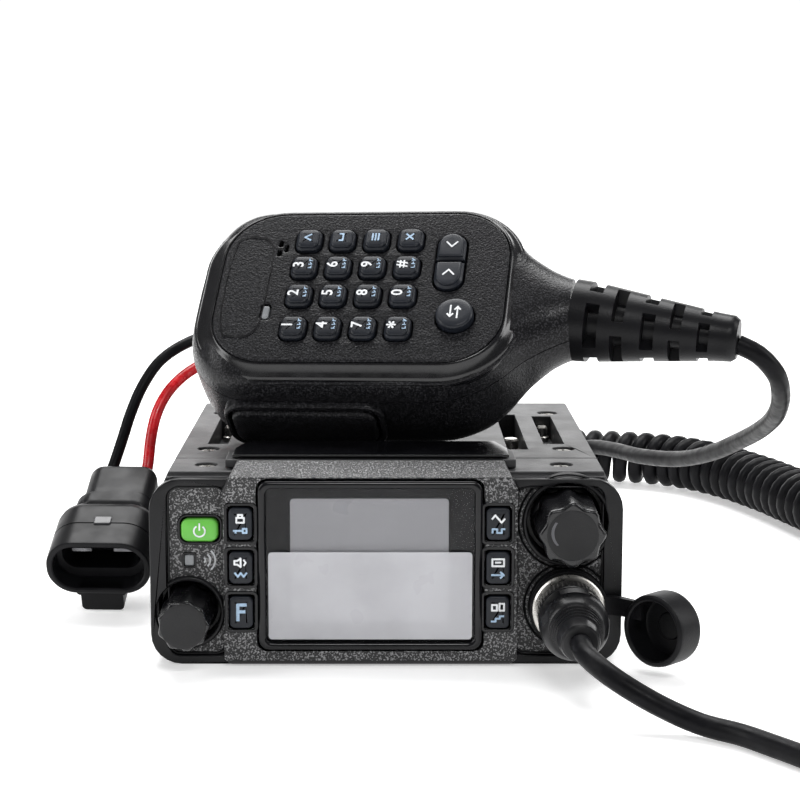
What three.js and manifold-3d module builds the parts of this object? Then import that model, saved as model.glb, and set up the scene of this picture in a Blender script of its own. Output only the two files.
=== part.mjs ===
// Compact mobile radio with a keypad hand microphone, its curly cord and its power lead.
// Units are millimetres. +X is to the right of the front panel, +Y runs back and +Z is up.
// The origin is on the underside, under the middle of the radio's body.
import * as THREE from 'three';
import { mergeVertices } from 'three/addons/utils/BufferGeometryUtils.js';
import Module from 'manifold-3d';

const wasm = await Module();
wasm.setup();

// ---- Driving dimensions ----
const GAP = 0.3; // clearance between neighbouring pieces
const BODY = { half: 57, front: -34.3, back: 55, top: 47, split: 26, wall: 2.6 };
const COLLAR = { front: -53.5, back: -34.6, wall: 1.4 };
const PANEL = { half: 57.3, height: 46, rim: -57, plate: -55.6, back: -53.8, corner: 7.5 };
const BLOCK = { left: -39.3, right: 31.8, face: -59.5, top: 49.6, shoulder: 46.9 };
const HUMP = { front: -49.4, back: -27.5, narrow: 3 };
const DISPLAY = { x: -3.8, z: 25.2, w: 54.2, h: 41.8, glassW: 51.6, glassH: 39.2 };
const LENS = { front: -59.8, back: -58.6 };
const LCD = { x: -4, z: 26.6, w: 44, h: 35, front: -58.2, back: -54.6 };
const LABEL = { left: -37.6, right: 30.1, front: -48.6, shoulder: -39, back: -29, narrow: 2.5 };
const MAIN_BOARD = { half: 48, front: -30, back: 46, low: 8, high: 9.6 };
const CONTROL_BOARD = { half: 50, front: -43.9, back: -42.3, low: 5, high: 43 };
const SPEAKER = { x: -2, y: 4, r: 16, low: 27, high: 38.4 };
const FRONT_KEY = { w: 5.7, h: 7.9, proud: 0.8, back: -52 };
const KEY_COLUMNS = [-35, 27];
const KEY_ROWS = [35.6, 24.8, 13.8];
const KEY_NAMES = [['lock_key', 'monitor_key', 'function_key'], ['tone_key', 'memory_key', 'band_key']];
const POWER = { x: -45.1, z: 33.4, w: 9, h: 5.6, front: -57.2, back: -52 };
const LAMP = { x: -47.8, z: 25.7, w: 2.6, h: 3 };
const VOLUME = { x: -48.2, z: 12.8, r: 6.2, well: 7.9, front: -69.5, lobes: 7 };
const DIAL = { x: 43.9, z: 35.2, r: 8, well: 9.8, front: -71, lobes: 8 };
const WELL_FLOOR = -49.6;
const WELL_BACK = -48;
const SHAFT_R = 3;
const SHAFT = { front: -60.5, back: -46, canBack: -44.4, volumeCan: 5.5, dialCan: 6.5 };
const SOCKET = { x: 44.2, z: 14.4, r: 8.2, front: -60, back: -47 };
const PLUG = { front: -60.3, shoulder: -70.4, end: -90, core: 5.4, r: 8.4, tip: 4.6 };
const CAP = { x: 67, y: -65.5, z: 11.6, r: 8.8, depth: 8.4, wall: 1.3, turn: Math.PI / 4 };
const SCREW_HOLES = [[-46.6, 37], [46.2, 37], [-45.8, -21], [45.8, -21], [-44.4, -43], [43.4, -43]];
const SLOTS = [[-44, -14, 31], [-34, -22, 34], [34, -22, 34], [44, -14, 31]]; // x, front, back
const SLOT_WIDTH = 5.4;
const SCREW_SINK = { r: 2.9, depth: 1.8 };
const ANTENNA = { x: 28, z: 24, flange: 25, r: 7.9, length: 15, bore: 6.2, pin: 2.2 };
const GLAND = { x: -28, z: 20, collar: 8, neck: 5.8, tip: 5.2, length: 10 };
const MIC = { half: 29.4, left: -44, neck: 56.3, neckHalf: 10.8, face: -1.8, seam: -12, back: -34 };
const MIC_AT = [-9.1, -16.9, 90]; // middle of the key tops
const MIC_TURN = [44.6, -1.2, -11].map(THREE.MathUtils.degToRad);
const MIC_KEY = { w: 6.8, h: 7, foot: -6.4, corner: 2 };
const MIC_COLUMNS = [-13.4, -4.4, 4.7, 13.8];
const MIC_ROWS = [15, 5.7, -3.8, -14.4];
const MIC_KEY_NAMES = [
  ['vfo', 'call', 'menu', 'fun'],
  ['3', '6', '9', 'hash'],
  ['2', '5', '8', '0'],
  ['1', '4', '7', 'star'],
];
const ROCKER = { x: 25, w: 7.6, h: 8.6, rows: [12.4, 2.8] };
const AB_KEY = { x: 28, y: -10.5, r: 4.8 };
const PTT = { left: -30, right: 8, front: -14, back: -27, outer: -31.8, inner: -27.4 };
const MIC_BOARD = { x: -2, w: 68, h: 42, low: -10.6, high: -9.2 };
const CAPSULE = { x: -28, y: 13.6, r: 4.8, low: -8.8, high: -4.8 };
const MIC_AXIS = -15.7; // height of the neck's middle, measured from the key tops
const BOOT = { length: 41.2, r: 10.6, tip: 5, droop: THREE.MathUtils.degToRad(-8.5) };
const CORD = { d: 5, coil: 18.5 };
const LEAD = 3.2;
const POWER_PLUG = {
  at: [-76.2, -14, 13.4], pitch: THREE.MathUtils.degToRad(23), yaw: THREE.MathUtils.degToRad(2.5),
  length: 38, skirtW: 27, skirtH: 16, skirt: 17, tailW: 18.8, tailH: 13, wall: 1.5, depth: 15,
};

// ---- Materials ----
const finish = (color, roughness, metalness = 0) => new THREE.MeshStandardMaterial({ color, roughness, metalness });
const paint = finish(0x2b2b2d, 0.55, 0.3);
const blackPlastic = finish(0x161617, 0.45);
const glossPlastic = finish(0x0b0b0c, 0.15);
const softRubber = finish(0x1a1a1b, 0.8);
const keyRubber = finish(0x22252b, 0.55);
const greenRubber = finish(0x63b548, 0.5);
const glass = finish(0x3a3d42, 0.08);
const lcdGrey = finish(0x9a9ba0, 0.35);
const nickel = finish(0xb9b6ae, 0.3, 1);
const board = finish(0x1f5a35, 0.6);
const redSheath = finish(0xb3202c, 0.45);

// ---- Solids ----
function outward(geometry) {
  const g = geometry.index ? geometry : mergeVertices(geometry);
  const p = g.attributes.position;
  const index = g.index.array;
  const [a, b, c] = [new THREE.Vector3(), new THREE.Vector3(), new THREE.Vector3()];
  let volume = 0;
  for (let i = 0; i < index.length; i += 3) {
    a.fromBufferAttribute(p, index[i]);
    b.fromBufferAttribute(p, index[i + 1]);
    c.fromBufferAttribute(p, index[i + 2]);
    volume += a.dot(b.cross(c));
  }
  if (volume < 0) {
    for (let i = 0; i < index.length; i += 3) {
      [index[i], index[i + 1]] = [index[i + 1], index[i]];
    }
  }
  return g;
}

function closed(geometry) {
  const g = geometry.clone();
  g.deleteAttribute('normal');
  g.deleteAttribute('uv');
  const shell = outward(mergeVertices(g, 1e-4));
  shell.computeVertexNormals();
  return shell;
}

function solid(geometry) {
  const g = closed(geometry);
  return new wasm.Manifold(new wasm.Mesh({
    numProp: 3,
    vertProperties: new Float32Array(g.attributes.position.array),
    triVerts: new Uint32Array(g.index.array),
  }));
}

function geometryOf(manifold) {
  const mesh = manifold.getMesh();
  const g = new THREE.BufferGeometry();
  g.setAttribute('position', new THREE.BufferAttribute(new Float32Array(mesh.vertProperties), 3));
  g.setIndex(new THREE.BufferAttribute(new Uint32Array(mesh.triVerts), 1));
  g.computeVertexNormals();
  return g;
}

const cut = (base, tools) => geometryOf(tools.reduce((left, tool) => left.subtract(solid(tool)), solid(base)));
const join = (pieces) => geometryOf(pieces.slice(1).reduce((sum, g) => sum.add(solid(g)), solid(pieces[0])));
const common = (a, b) => geometryOf(solid(a).intersect(solid(b)));

// ---- Shapes and blanks ----
function block([x0, x1], [y0, y1], [z0, z1]) {
  return new THREE.BoxGeometry(x1 - x0, y1 - y0, z1 - z0)
    .translate((x0 + x1) / 2, (y0 + y1) / 2, (z0 + z1) / 2);
}

function outline(points) {
  return new THREE.Shape(points.map(([x, y]) => new THREE.Vector2(x, y)));
}

function roundedRect(x, y, w, h, r) {
  const [x0, x1, y0, y1] = [x - w / 2, x + w / 2, y - h / 2, y + h / 2];
  const s = new THREE.Shape();
  s.absarc(x1 - r, y0 + r, r, -Math.PI / 2, 0);
  s.absarc(x1 - r, y1 - r, r, 0, Math.PI / 2);
  s.absarc(x0 + r, y1 - r, r, Math.PI / 2, Math.PI);
  s.absarc(x0 + r, y0 + r, r, Math.PI, Math.PI * 1.5);
  return s;
}

function ring(count, radiusAt, x = 0, y = 0) {
  const points = [];
  for (let i = 0; i < count; i += 1) {
    const angle = (i / count) * Math.PI * 2;
    const r = radiusAt(angle);
    points.push([x + r * Math.cos(angle), y + r * Math.sin(angle)]);
  }
  return outline(points);
}

const circle = (r, sides, x = 0, y = 0) => ring(sides, () => r, x, y);

// A shape drawn in plan, raised from z0 to z1, with an optional bevel inside both ends.
function raised(shape, z0, z1, bevel = 0, steps = 2, curve = 2) {
  return new THREE.ExtrudeGeometry(shape, {
    depth: z1 - z0 - 2 * bevel,
    curveSegments: curve,
    bevelEnabled: bevel > 0,
    bevelThickness: bevel,
    bevelSize: bevel,
    bevelOffset: -bevel,
    bevelSegments: steps,
  }).translate(0, 0, z0 + bevel);
}

// A shape drawn as seen from the front, carried from y0 back to y1.
function fronted(shape, y0, y1, bevel = 0, steps = 2, curve = 2) {
  return raised(shape, 0, y1 - y0, bevel, steps, curve).rotateX(Math.PI / 2).translate(0, y1, 0);
}

// A profile of [radius, y] turned about a line along Y.
function turned(profile, x, z, sides) {
  const points = profile.map(([r, y]) => new THREE.Vector2(r, y));
  return closed(new THREE.LatheGeometry(points, sides)).translate(x, 0, z);
}

const rod = (r, y0, y1, x, z, sides) => fronted(circle(r, sides, x, z), y0, y1);

function tube(route, diameter, sides, pitch) {
  const path = new THREE.CatmullRomCurve3(route.map((p) => new THREE.Vector3(...p)), false, 'centripetal');
  const steps = Math.round(path.getLength() / pitch);
  return new THREE.ExtrudeGeometry(circle(diameter / 2, sides), { steps, extrudePath: path });
}

// ---- Scene graph ----
const radio = new THREE.Group();
const microphone = new THREE.Group();
microphone.position.set(...MIC_AT);
microphone.rotation.set(...MIC_TURN, 'ZYX');
radio.add(microphone);

function add(name, geometry, material, parent = radio) {
  const mesh = new THREE.Mesh(geometry, material);
  mesh.name = name;
  parent.add(mesh);
  return mesh;
}

// ---- Housing ----
function bodyOutline(inset = 0) {
  const half = BODY.half - inset;
  const right = [[half - 4.5, inset], [half - 0.6, 4 + inset * 0.5], [half, 10], [half, 37.5], [half - 4, BODY.top - inset]];
  return outline([...right, ...right.map(([x, z]) => [-x, z]).reverse()]);
}

function sideGrooves() {
  const tools = [];
  for (const z of [10, 15, 20]) {
    for (const side of [-1, 1]) {
      const x = side * BODY.half;
      tools.push(block([x - 1.2, x + 1.2], [-26, 47], [z, z + 2.2]));
    }
  }
  return tools;
}

function screwSinks(holes) {
  return holes.map(([x, y]) => raised(circle(SCREW_SINK.r, 12, x, y), BODY.top - SCREW_SINK.depth, BODY.top + 5));
}

function chassis() {
  const lower = block([-70, 70], [BODY.front, BODY.back], [-5, BODY.split - GAP / 2]);
  const shell = common(fronted(bodyOutline(), BODY.front, BODY.back), lower);
  const inner = BODY.half - BODY.wall - 1.6;
  const cavity = block([-inner, inner], [BODY.front - 5, BODY.back - 4], [3, 60]);
  const fins = [];
  for (let x = -48; x <= 48; x += 8) {
    if (Math.abs(x + 28) > 10 && Math.abs(x - 28) > 14) {
      fins.push(block([x - 1.6, x + 1.6], [BODY.back - 2, BODY.back + 2], [4, 50]));
    }
  }
  return cut(shell, [cavity, ...sideGrooves(), ...fins]);
}

function topCover() {
  const upper = block([-70, 70], [BODY.front, BODY.back], [BODY.split + GAP / 2, 60]);
  const shell = common(fronted(bodyOutline(), BODY.front, BODY.back), upper);
  const inner = BODY.half - BODY.wall - 2.4;
  const cavity = block([-inner, inner], [BODY.front - 5, BODY.back - 4], [0, BODY.top - 8]);
  const slots = SLOTS.map(([x, y0, y1]) => block(
    [x - SLOT_WIDTH / 2, x + SLOT_WIDTH / 2], [y0, y1], [BODY.top - 6.4, BODY.top + 5]));
  const sinks = screwSinks(SCREW_HOLES.slice(0, 4));
  const grille = [-10, -3, 4, 11].map((y) => block([-18, 14], [y, y + 2.6], [30, BODY.top + 5]));
  return cut(shell, [cavity, ...slots, ...sinks, ...grille]);
}

function frontCollar() {
  const tunnel = fronted(bodyOutline(), COLLAR.front, COLLAR.back);
  const cavity = fronted(bodyOutline(COLLAR.wall), COLLAR.front - 5, COLLAR.back + 5);
  const [x0, x1] = [BLOCK.left, BLOCK.right];
  const hump = raised(outline([
    [x0, HUMP.front], [x1, HUMP.front], [x1, -38], [x1 - HUMP.narrow, HUMP.back], [x0 + HUMP.narrow, HUMP.back],
    [x0, -38],
  ]), BODY.top + GAP, BLOCK.top - 0.2);
  const foot = block([x0 + 1, x1 - 1], [HUMP.front + 1, COLLAR.back], [BODY.top - 1, BODY.top + 1]);
  const sinks = screwSinks(SCREW_HOLES.slice(4));
  const lip = fronted(outline([[-80, PANEL.height - 0.1], [80, PANEL.height - 0.1], [80, 60], [-80, 60]]),
    COLLAR.front - 5, COLLAR.front + 1.2);
  return cut(join([geometryOf(solid(tunnel).subtract(solid(cavity))), foot, hump]), [...sinks, lip]);
}

// ---- Front panel ----
function keyHoles() {
  return KEY_COLUMNS.flatMap((x) => KEY_ROWS.map((z) => fronted(
    roundedRect(x, z, FRONT_KEY.w + 2 * GAP, FRONT_KEY.h + 2 * GAP, 0.8), -70, -40, 0, 1, 1)));
}

function panelBlock() {
  const [x0, x1] = [BLOCK.left, BLOCK.right];
  const side = outline([
    [PANEL.back, 0.4], [BLOCK.face + 1, 0.4], [BLOCK.face, 1.6], [BLOCK.face, BLOCK.shoulder],
    [-51.6, BLOCK.top], [HUMP.front - GAP, BLOCK.top], [HUMP.front - GAP, BODY.top + GAP], [PANEL.back, BODY.top + GAP],
  ]);
  const swept = raised(side, x0, x1).rotateY(Math.PI / 2).rotateX(Math.PI / 2);
  const front = fronted(outline([
    [x0 + 2, 0], [x1 - 2, 0], [x1, 2], [x1, 44], [x1 - 4, 51], [x0 + 4, 51], [x0, 44], [x0, 2],
  ]), -70, -40);
  return common(swept, front);
}

function frontPanel() {
  const rim = fronted(roundedRect(0, PANEL.height / 2, PANEL.half * 2, PANEL.height, PANEL.corner),
    PANEL.rim, PANEL.back, 0, 1, 3);
  const recess = (x0, x1) => fronted(roundedRect((x0 + x1) / 2, 23.2, x1 - x0, 42, 3), -70, PANEL.plate);
  const inCollar = fronted(bodyOutline(COLLAR.wall + GAP), PANEL.back - 1, WELL_BACK + 1);
  const wells = [VOLUME, DIAL].map((k) => common(inCollar, rod(k.well + 1.3, PANEL.back - 1, WELL_BACK, k.x, k.z, 28)));
  const body = join([cut(rim, [recess(-53.1, -38), recess(31, 52.8)]), panelBlock(), ...wells]);
  return cut(body, [
    ...keyHoles(),
    ...[VOLUME, DIAL].map((k) => rod(k.well, -70, WELL_FLOOR, k.x, k.z, 28)),
    ...[VOLUME, DIAL].map((k) => rod(SHAFT_R + 0.5, -70, -40, k.x, k.z, 16)),
    rod(SOCKET.r + GAP, -70, -40, SOCKET.x, SOCKET.z, 28),
    fronted(roundedRect(DISPLAY.x, DISPLAY.z, DISPLAY.w + 2 * GAP, DISPLAY.h + 2 * GAP, 2.4), -70, -40),
    fronted(roundedRect(POWER.x, POWER.z, POWER.w + 2 * GAP, POWER.h + 2 * GAP, 1.6), -70, -40),
    fronted(roundedRect(LAMP.x, LAMP.z, LAMP.w, LAMP.h, 0.5), -70, -40, 0, 1, 1),
  ]);
}

function lobedKnob(k) {
  const wave = (angle) => k.r - 0.2 + 0.5 * Math.cos(k.lobes * angle);
  const skirt = rod(k.r + 0.5, WELL_FLOOR - 2.4, WELL_FLOOR - GAP, k.x, k.z, 28);
  const grip = fronted(ring(k.lobes * 6, wave, k.x, k.z), k.front, WELL_FLOOR - 1, 0.6, 1);
  const bore = rod(SHAFT_R + GAP, -61, -40, k.x, k.z, 16);
  return cut(join([grip, skirt]), [bore]);
}

function shaftAndBody(k, bodyR) {
  const shaft = rod(SHAFT_R, SHAFT.front, SHAFT.back, k.x, k.z, 16);
  const can = rod(bodyR, WELL_BACK + GAP, SHAFT.canBack, k.x, k.z, 16);
  return join([shaft, can]);
}

function displayFrame() {
  const outer = fronted(roundedRect(DISPLAY.x, DISPLAY.z, DISPLAY.w, DISPLAY.h, 2), BLOCK.face - 0.8, -54, 0.5, 1);
  const opening = roundedRect(DISPLAY.x, DISPLAY.z, DISPLAY.glassW + 2 * GAP, DISPLAY.glassH + 2 * GAP, 1.4);
  return cut(outer, [fronted(opening, -70, -40)]);
}

// ---- Sockets and plugs ----
function micSocket() {
  const profile = [[0, SOCKET.back], [SOCKET.r - 1.4, SOCKET.back], [SOCKET.r - 1.4, -54.5], [SOCKET.r, -54.5],
    [SOCKET.r, SOCKET.front + 0.6], [SOCKET.r - 0.6, SOCKET.front], [SOCKET.r - 1.6, SOCKET.front],
    [SOCKET.r - 1.6, SOCKET.front + 2.4], [0, SOCKET.front + 2.4]];
  return turned(profile, SOCKET.x, SOCKET.z, 28);
}

function micPlugBody() {
  const profile = [[0, PLUG.front + 2.4], [SOCKET.r - 2.2, PLUG.front + 2.4], [SOCKET.r - 2.2, PLUG.front],
    [PLUG.core, PLUG.front - 0.6], [PLUG.core, PLUG.shoulder + GAP], [PLUG.r, PLUG.shoulder],
    [PLUG.r, PLUG.shoulder - 6], [PLUG.r - 1.6, PLUG.shoulder - 9], [PLUG.tip + 0.9, PLUG.end + 4],
    [PLUG.tip, PLUG.end], [0, PLUG.end]];
  return turned(profile, SOCKET.x, SOCKET.z, 20);
}

function micPlugRing() {
  const [y0, y1] = [PLUG.shoulder + 2 * GAP, PLUG.front - 1];
  const knurled = fronted(ring(36, (angle) => PLUG.r - 0.2 + 0.2 * Math.cos(18 * angle), SOCKET.x, SOCKET.z), y0, y1);
  return cut(knurled, [rod(PLUG.core + GAP, -90, -40, SOCKET.x, SOCKET.z, 20)]);
}

function dustCap() {
  const r = CAP.r;
  const cup = turned([[0, 0], [r - 0.8, 0], [r, -0.8], [r, -CAP.depth], [r - CAP.wall, -CAP.depth],
    [r - CAP.wall, -CAP.wall - 0.4], [0, -CAP.wall - 0.4]], 0, 0, 24);
  cup.rotateZ(-CAP.turn).translate(CAP.x + 2, CAP.y + 2, CAP.z);
  const strap = raised(outline([
    [53.4, -58.6], [57, -58.9], [61.5, -64.2], [60.2, -65.2], [56, -60.4], [53.4, -60],
  ]), 13.4, 17.6);
  return join([cup, strap]);
}

function antennaSocket() {
  const { x, z, r, length, bore, pin } = ANTENNA;
  const flange = fronted(roundedRect(x, z, ANTENNA.flange, ANTENNA.flange, 2), BODY.back + GAP, BODY.back + 2.3);
  const barrel = turned([[0, BODY.back + 1], [r, BODY.back + 1], [r, BODY.back + length], [bore, BODY.back + length],
    [bore, BODY.back + 10], [pin, BODY.back + 10], [pin, BODY.back + 12], [0, BODY.back + 12]], x, z, 24);
  return join([flange, barrel]);
}

function powerGland() {
  const profile = [[0, BODY.back + GAP], [GLAND.collar, BODY.back + GAP], [GLAND.collar, BODY.back + 2.5],
    [GLAND.neck, BODY.back + 3.5], [GLAND.tip, BODY.back + GLAND.length], [0, BODY.back + GLAND.length]];
  return turned(profile, GLAND.x, GLAND.z, 20);
}

function placePowerPlug(mesh) {
  mesh.position.set(...POWER_PLUG.at);
  mesh.rotation.set(POWER_PLUG.pitch, 0, -POWER_PLUG.yaw, 'ZYX');
}

// The plug is drawn with its mouth at y = 0 facing -Y and its tail towards +Y.
function powerPlug() {
  const p = POWER_PLUG;
  const skirt = fronted(roundedRect(0, 0, p.skirtW, p.skirtH, p.skirtH / 2 - 0.4), 0, p.skirt, 0, 1, 3);
  const waist = fronted(roundedRect(0.8, 0.2, p.tailW + 2.4, p.tailH + 1.4, 4), p.skirt - 1, p.skirt + 8);
  const tail = fronted(roundedRect(1.4, 0.4, p.tailW, p.tailH, 3.6), p.skirt, p.length, 0.8, 1);
  const tab = block([-5.4, 5.2], [1, 8], [-p.skirtH / 2 - 4.4, -p.skirtH / 2 + 1]);
  const mouth = fronted(roundedRect(0, 0, p.skirtW - 2 * p.wall, p.skirtH - 2 * p.wall, p.skirtH / 2 - p.wall - 0.4),
    -5, p.depth, 0, 1, 3);
  return cut(join([skirt, waist, tail, tab]), [mouth]);
}

function plugInsert() {
  const p = POWER_PLUG;
  const base = fronted(roundedRect(0, 0, p.skirtW - 2 * p.wall - 1.4, 7.4, 3), p.depth - 4, p.depth - GAP);
  const pins = [-5.6, 5.6].map((x) => block([x - 2.6, x + 2.6], [3.5, p.depth - 3], [-0.5, 0.5]));
  return join([base, ...pins]);
}

// ---- Hand microphone, drawn lying on its back with the key tops at z = 0 ----
function micOutline(inset = 0) {
  const half = MIC.half - inset;
  const [left, neck, neckHalf] = [MIC.left + inset, MIC.neck - inset, MIC.neckHalf - inset];
  const s = new THREE.Shape();
  s.moveTo(left, -12);
  s.bezierCurveTo(left, -half + 5, left + 6, -half, left + 18, -half);
  s.lineTo(22, -half);
  s.bezierCurveTo(40, -half, 43, -neckHalf - 6, neck, -neckHalf);
  s.lineTo(neck, neckHalf);
  s.bezierCurveTo(43, neckHalf + 6, 40, half, 22, half);
  s.lineTo(left + 18, half);
  s.bezierCurveTo(left + 6, half, left, half - 5, left, 12);
  s.closePath();
  return s;
}

function micKeyHoles() {
  const g = 2 * GAP;
  const well = (x, y) => roundedRect(x, y, MIC_KEY.w + g, MIC_KEY.h + g, MIC_KEY.corner);
  const wells = MIC_COLUMNS.flatMap((x) => MIC_ROWS.map((y) => well(x, y)));
  const rocker = roundedRect(ROCKER.x, (ROCKER.rows[0] + ROCKER.rows[1]) / 2, ROCKER.w + g, 2 * ROCKER.h + 1.6, 2.3);
  const soundHoles = [12.2, 15].map((y) => roundedRect(-21, y, 2.6, 1.4, 0.5));
  const lamp = roundedRect(-21.6, -8.6, 2.4, 5, 1);
  return [...wells, rocker, circle(AB_KEY.r + GAP, 20, AB_KEY.x, AB_KEY.y), ...soundHoles, lamp]
    .map((shape) => raised(shape, -20, 5, 0, 1, 2));
}

function micFrontShell() {
  const slab = block([-60, 70], [-40, 40], [MIC.seam + GAP / 2, MIC.face]);
  const body = new THREE.ExtrudeGeometry(micOutline(), {
    depth: MIC.face - 2.6 - MIC.seam, curveSegments: 4, bevelEnabled: true, bevelThickness: 2.6, bevelSize: 3.8,
    bevelOffset: -3.8, bevelSegments: 2,
  }).translate(0, 0, MIC.seam);
  const cavity = raised(micOutline(2.4), MIC.seam - 5, MIC.face - 2.6, 0, 1, 3);
  return cut(common(body, slab), [cavity, ...micKeyHoles()]);
}

function micBackShell() {
  const body = new THREE.ExtrudeGeometry(micOutline(), {
    depth: MIC.seam - MIC.back - 6, curveSegments: 4, bevelEnabled: true, bevelThickness: 6, bevelSize: 6,
    bevelOffset: -6, bevelSegments: 3,
  }).translate(0, 0, MIC.back + 6);
  const slab = block([-60, 70], [-40, 40], [MIC.back - 1, MIC.seam - GAP / 2]);
  const cavity = raised(micOutline(8), MIC.back + 2.4, MIC.seam + 5, 0, 1, 3);
  const pocket = block([PTT.left - GAP, PTT.right + GAP], [-40, PTT.inner + 1.8], [PTT.back - GAP, PTT.front + GAP]);
  return cut(common(body, slab), [cavity, pocket]);
}

function pttBar() {
  const x = (PTT.left + PTT.right) / 2;
  const z = (PTT.front + PTT.back) / 2;
  const face = roundedRect(x, z, PTT.right - PTT.left, PTT.front - PTT.back, 3.4);
  return fronted(face, PTT.outer, PTT.inner, 0.9, 2);
}

// The boot droops, so its root is cut square against the neck.
function micBoot() {
  const { length, r, tip } = BOOT;
  const profile = [[0, -3], [r, -3], [r - 0.6, 6]];
  for (let i = 1; i <= 4; i += 1) {
    const y = 2 + i * 8;
    const radius = r - ((r - tip) * y) / length;
    profile.push([radius - 1.6, y - 1], [radius - 1.6, y + 1], [radius + 0.2, y + 1.2]);
  }
  profile.push([tip, length], [0, length]);
  const blank = turned(profile, 0, 0, 16).rotateZ(BOOT.droop - Math.PI / 2).translate(MIC.neck, 0, MIC_AXIS);
  return cut(blank, [block([MIC.neck - 20, MIC.neck + GAP], [-30, 30], [-50, 20])]);
}

// ---- Cords ----
const COIL_ROUTE = [[34, 176.5, 9.6], [52, 176.8, 9.6], [72, 173.6, 9.6], [90, 168.5, 9.6], [103, 160.5, 9.6],
  [114.5, 145, 9.6], [124, 123.5, 9.6], [132, 97, 9.6], [140, 68, 9.6], [148, 40, 9.6], [155, 14, 9.6], [159, -10, 9.6]];
const TAIL_ROUTE = [[88.8, -28.4, 75.2], [94, -29.2, 72.6], [99, -26.5, 67.5], [102, -19, 61.4], [104, -5, 54],
  [104.5, 17, 46], [102, 40.6, 38], [97, 62, 30.5], [91, 83, 25], [82.3, 107, 21.5], [76.6, 126, 20], [69.7, 143, 18],
  [57, 155.5, 13.6], [41, 160.5, 8], [25, 161.5, 4], [11, 164, 2.7], [1.5, 172, 2.6], [1, 184, 2.6], [9, 193.5, 2.6],
  [20.5, 194, 2.7], [28.5, 187.5, 2.8], [31, 178, 2.9]];
const PLUG_CORD_ROUTE = [[44.2, -90.4, 14.4], [44.5, -96, 13.9], [47.6, -102.6, 12.2], [53, -106.5, 9.2],
  [60, -109.5, 5.8], [68, -113.6, 3.2], [76, -119.6, 2.7], [82.5, -128, 2.6], [90.5, -138.5, 2.6],
  [102, -145.5, 2.6], [116, -146.5, 2.6], [130, -140, 2.6], [141, -126, 2.6], [148, -106, 2.6], [151, -83, 2.6],
  [150.5, -60, 2.6], [148, -42, 2.6], [144.8, -28, 2.6], [146.5, -18.5, 2.7], [155, -14.6, 2.9]];
const BLACK_ROUTE = [[-78.4, 22, 29.7], [-77.2, 25, 33], [-74.6, 28, 41], [-72.4, 30, 48], [-69.2, 33, 55.5],
  [-64.6, 38, 62], [-57.4, 44, 66.4], [-48, 54, 68], [-40, 65, 64], [-34.4, 75.4, 54], [-31.6, 82, 42],
  [-30.6, 82, 30.5], [-30.4, 76, 21.6], [-30.4, 70, 20.2], [-30.4, 65.5, 20]];
const RED_ROUTE = [[-68.4, 22, 29.9], [-67.4, 25, 33], [-66.6, 28, 41], [-65.2, 30.5, 47.6], [-62.4, 34, 53.2],
  [-58, 38.5, 57.6], [-51.6, 45, 60.6], [-43, 54, 60.4], [-34.6, 63.6, 56.4], [-28.6, 71.4, 49], [-25.8, 76.6, 39.6],
  [-25.4, 77.4, 29], [-25.5, 74.2, 22], [-25.6, 70, 20.2], [-25.6, 65.5, 20]];

// ---- Assembly ----
add('chassis', chassis(), paint);
add('top_cover', topCover(), paint);
add('front_collar', frontCollar(), paint);
add('front_panel', frontPanel(), blackPlastic);
add('display_frame', displayFrame(), glossPlastic);
const lensOutline = roundedRect(DISPLAY.x, DISPLAY.z, DISPLAY.glassW, DISPLAY.glassH, 1.2);
add('display_lens', fronted(lensOutline, LENS.front, LENS.back), glass);
add('lcd_module', fronted(roundedRect(LCD.x, LCD.z, LCD.w, LCD.h, 1), LCD.front, LCD.back, 0, 1, 1), lcdGrey);
add('label_plate', raised(outline([
  [LABEL.left, LABEL.front], [LABEL.right, LABEL.front], [LABEL.right, LABEL.shoulder],
  [LABEL.right - LABEL.narrow, LABEL.back], [LABEL.left + LABEL.narrow, LABEL.back], [LABEL.left, LABEL.shoulder],
]), BLOCK.top + 0.1, BLOCK.top + 0.8), glossPlastic);
add('main_board', block([-MAIN_BOARD.half, MAIN_BOARD.half], [MAIN_BOARD.front, MAIN_BOARD.back],
  [MAIN_BOARD.low, MAIN_BOARD.high]), board);
add('control_board', block([-CONTROL_BOARD.half, CONTROL_BOARD.half], [CONTROL_BOARD.front, CONTROL_BOARD.back],
  [CONTROL_BOARD.low, CONTROL_BOARD.high]), board);
add('speaker', raised(circle(SPEAKER.r, 20, SPEAKER.x, SPEAKER.y), SPEAKER.low, SPEAKER.high), blackPlastic);
add('volume_pot', shaftAndBody(VOLUME, SHAFT.volumeCan), nickel);
add('dial_encoder', shaftAndBody(DIAL, SHAFT.dialCan), nickel);
add('mic_socket', micSocket(), nickel);
add('antenna_socket', antennaSocket(), nickel);
add('power_gland', powerGland(), softRubber);

KEY_COLUMNS.forEach((x, side) => KEY_ROWS.forEach((z, row) => {
  const shape = roundedRect(x, z, FRONT_KEY.w, FRONT_KEY.h, 0.8);
  add(KEY_NAMES[side][row], fronted(shape, BLOCK.face - FRONT_KEY.proud, FRONT_KEY.back, 0.3, 1, 1), keyRubber);
}));
const powerOutline = roundedRect(POWER.x, POWER.z, POWER.w, POWER.h, 1.4);
add('power_button', fronted(powerOutline, POWER.front, POWER.back, 0.4, 1), greenRubber);
add('volume_knob', lobedKnob(VOLUME), softRubber);
add('channel_dial', lobedKnob(DIAL), softRubber);
add('dust_cap', dustCap(), softRubber);
add('mic_plug_body', micPlugBody(), blackPlastic);
add('mic_plug_ring', micPlugRing(), blackPlastic);

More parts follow.
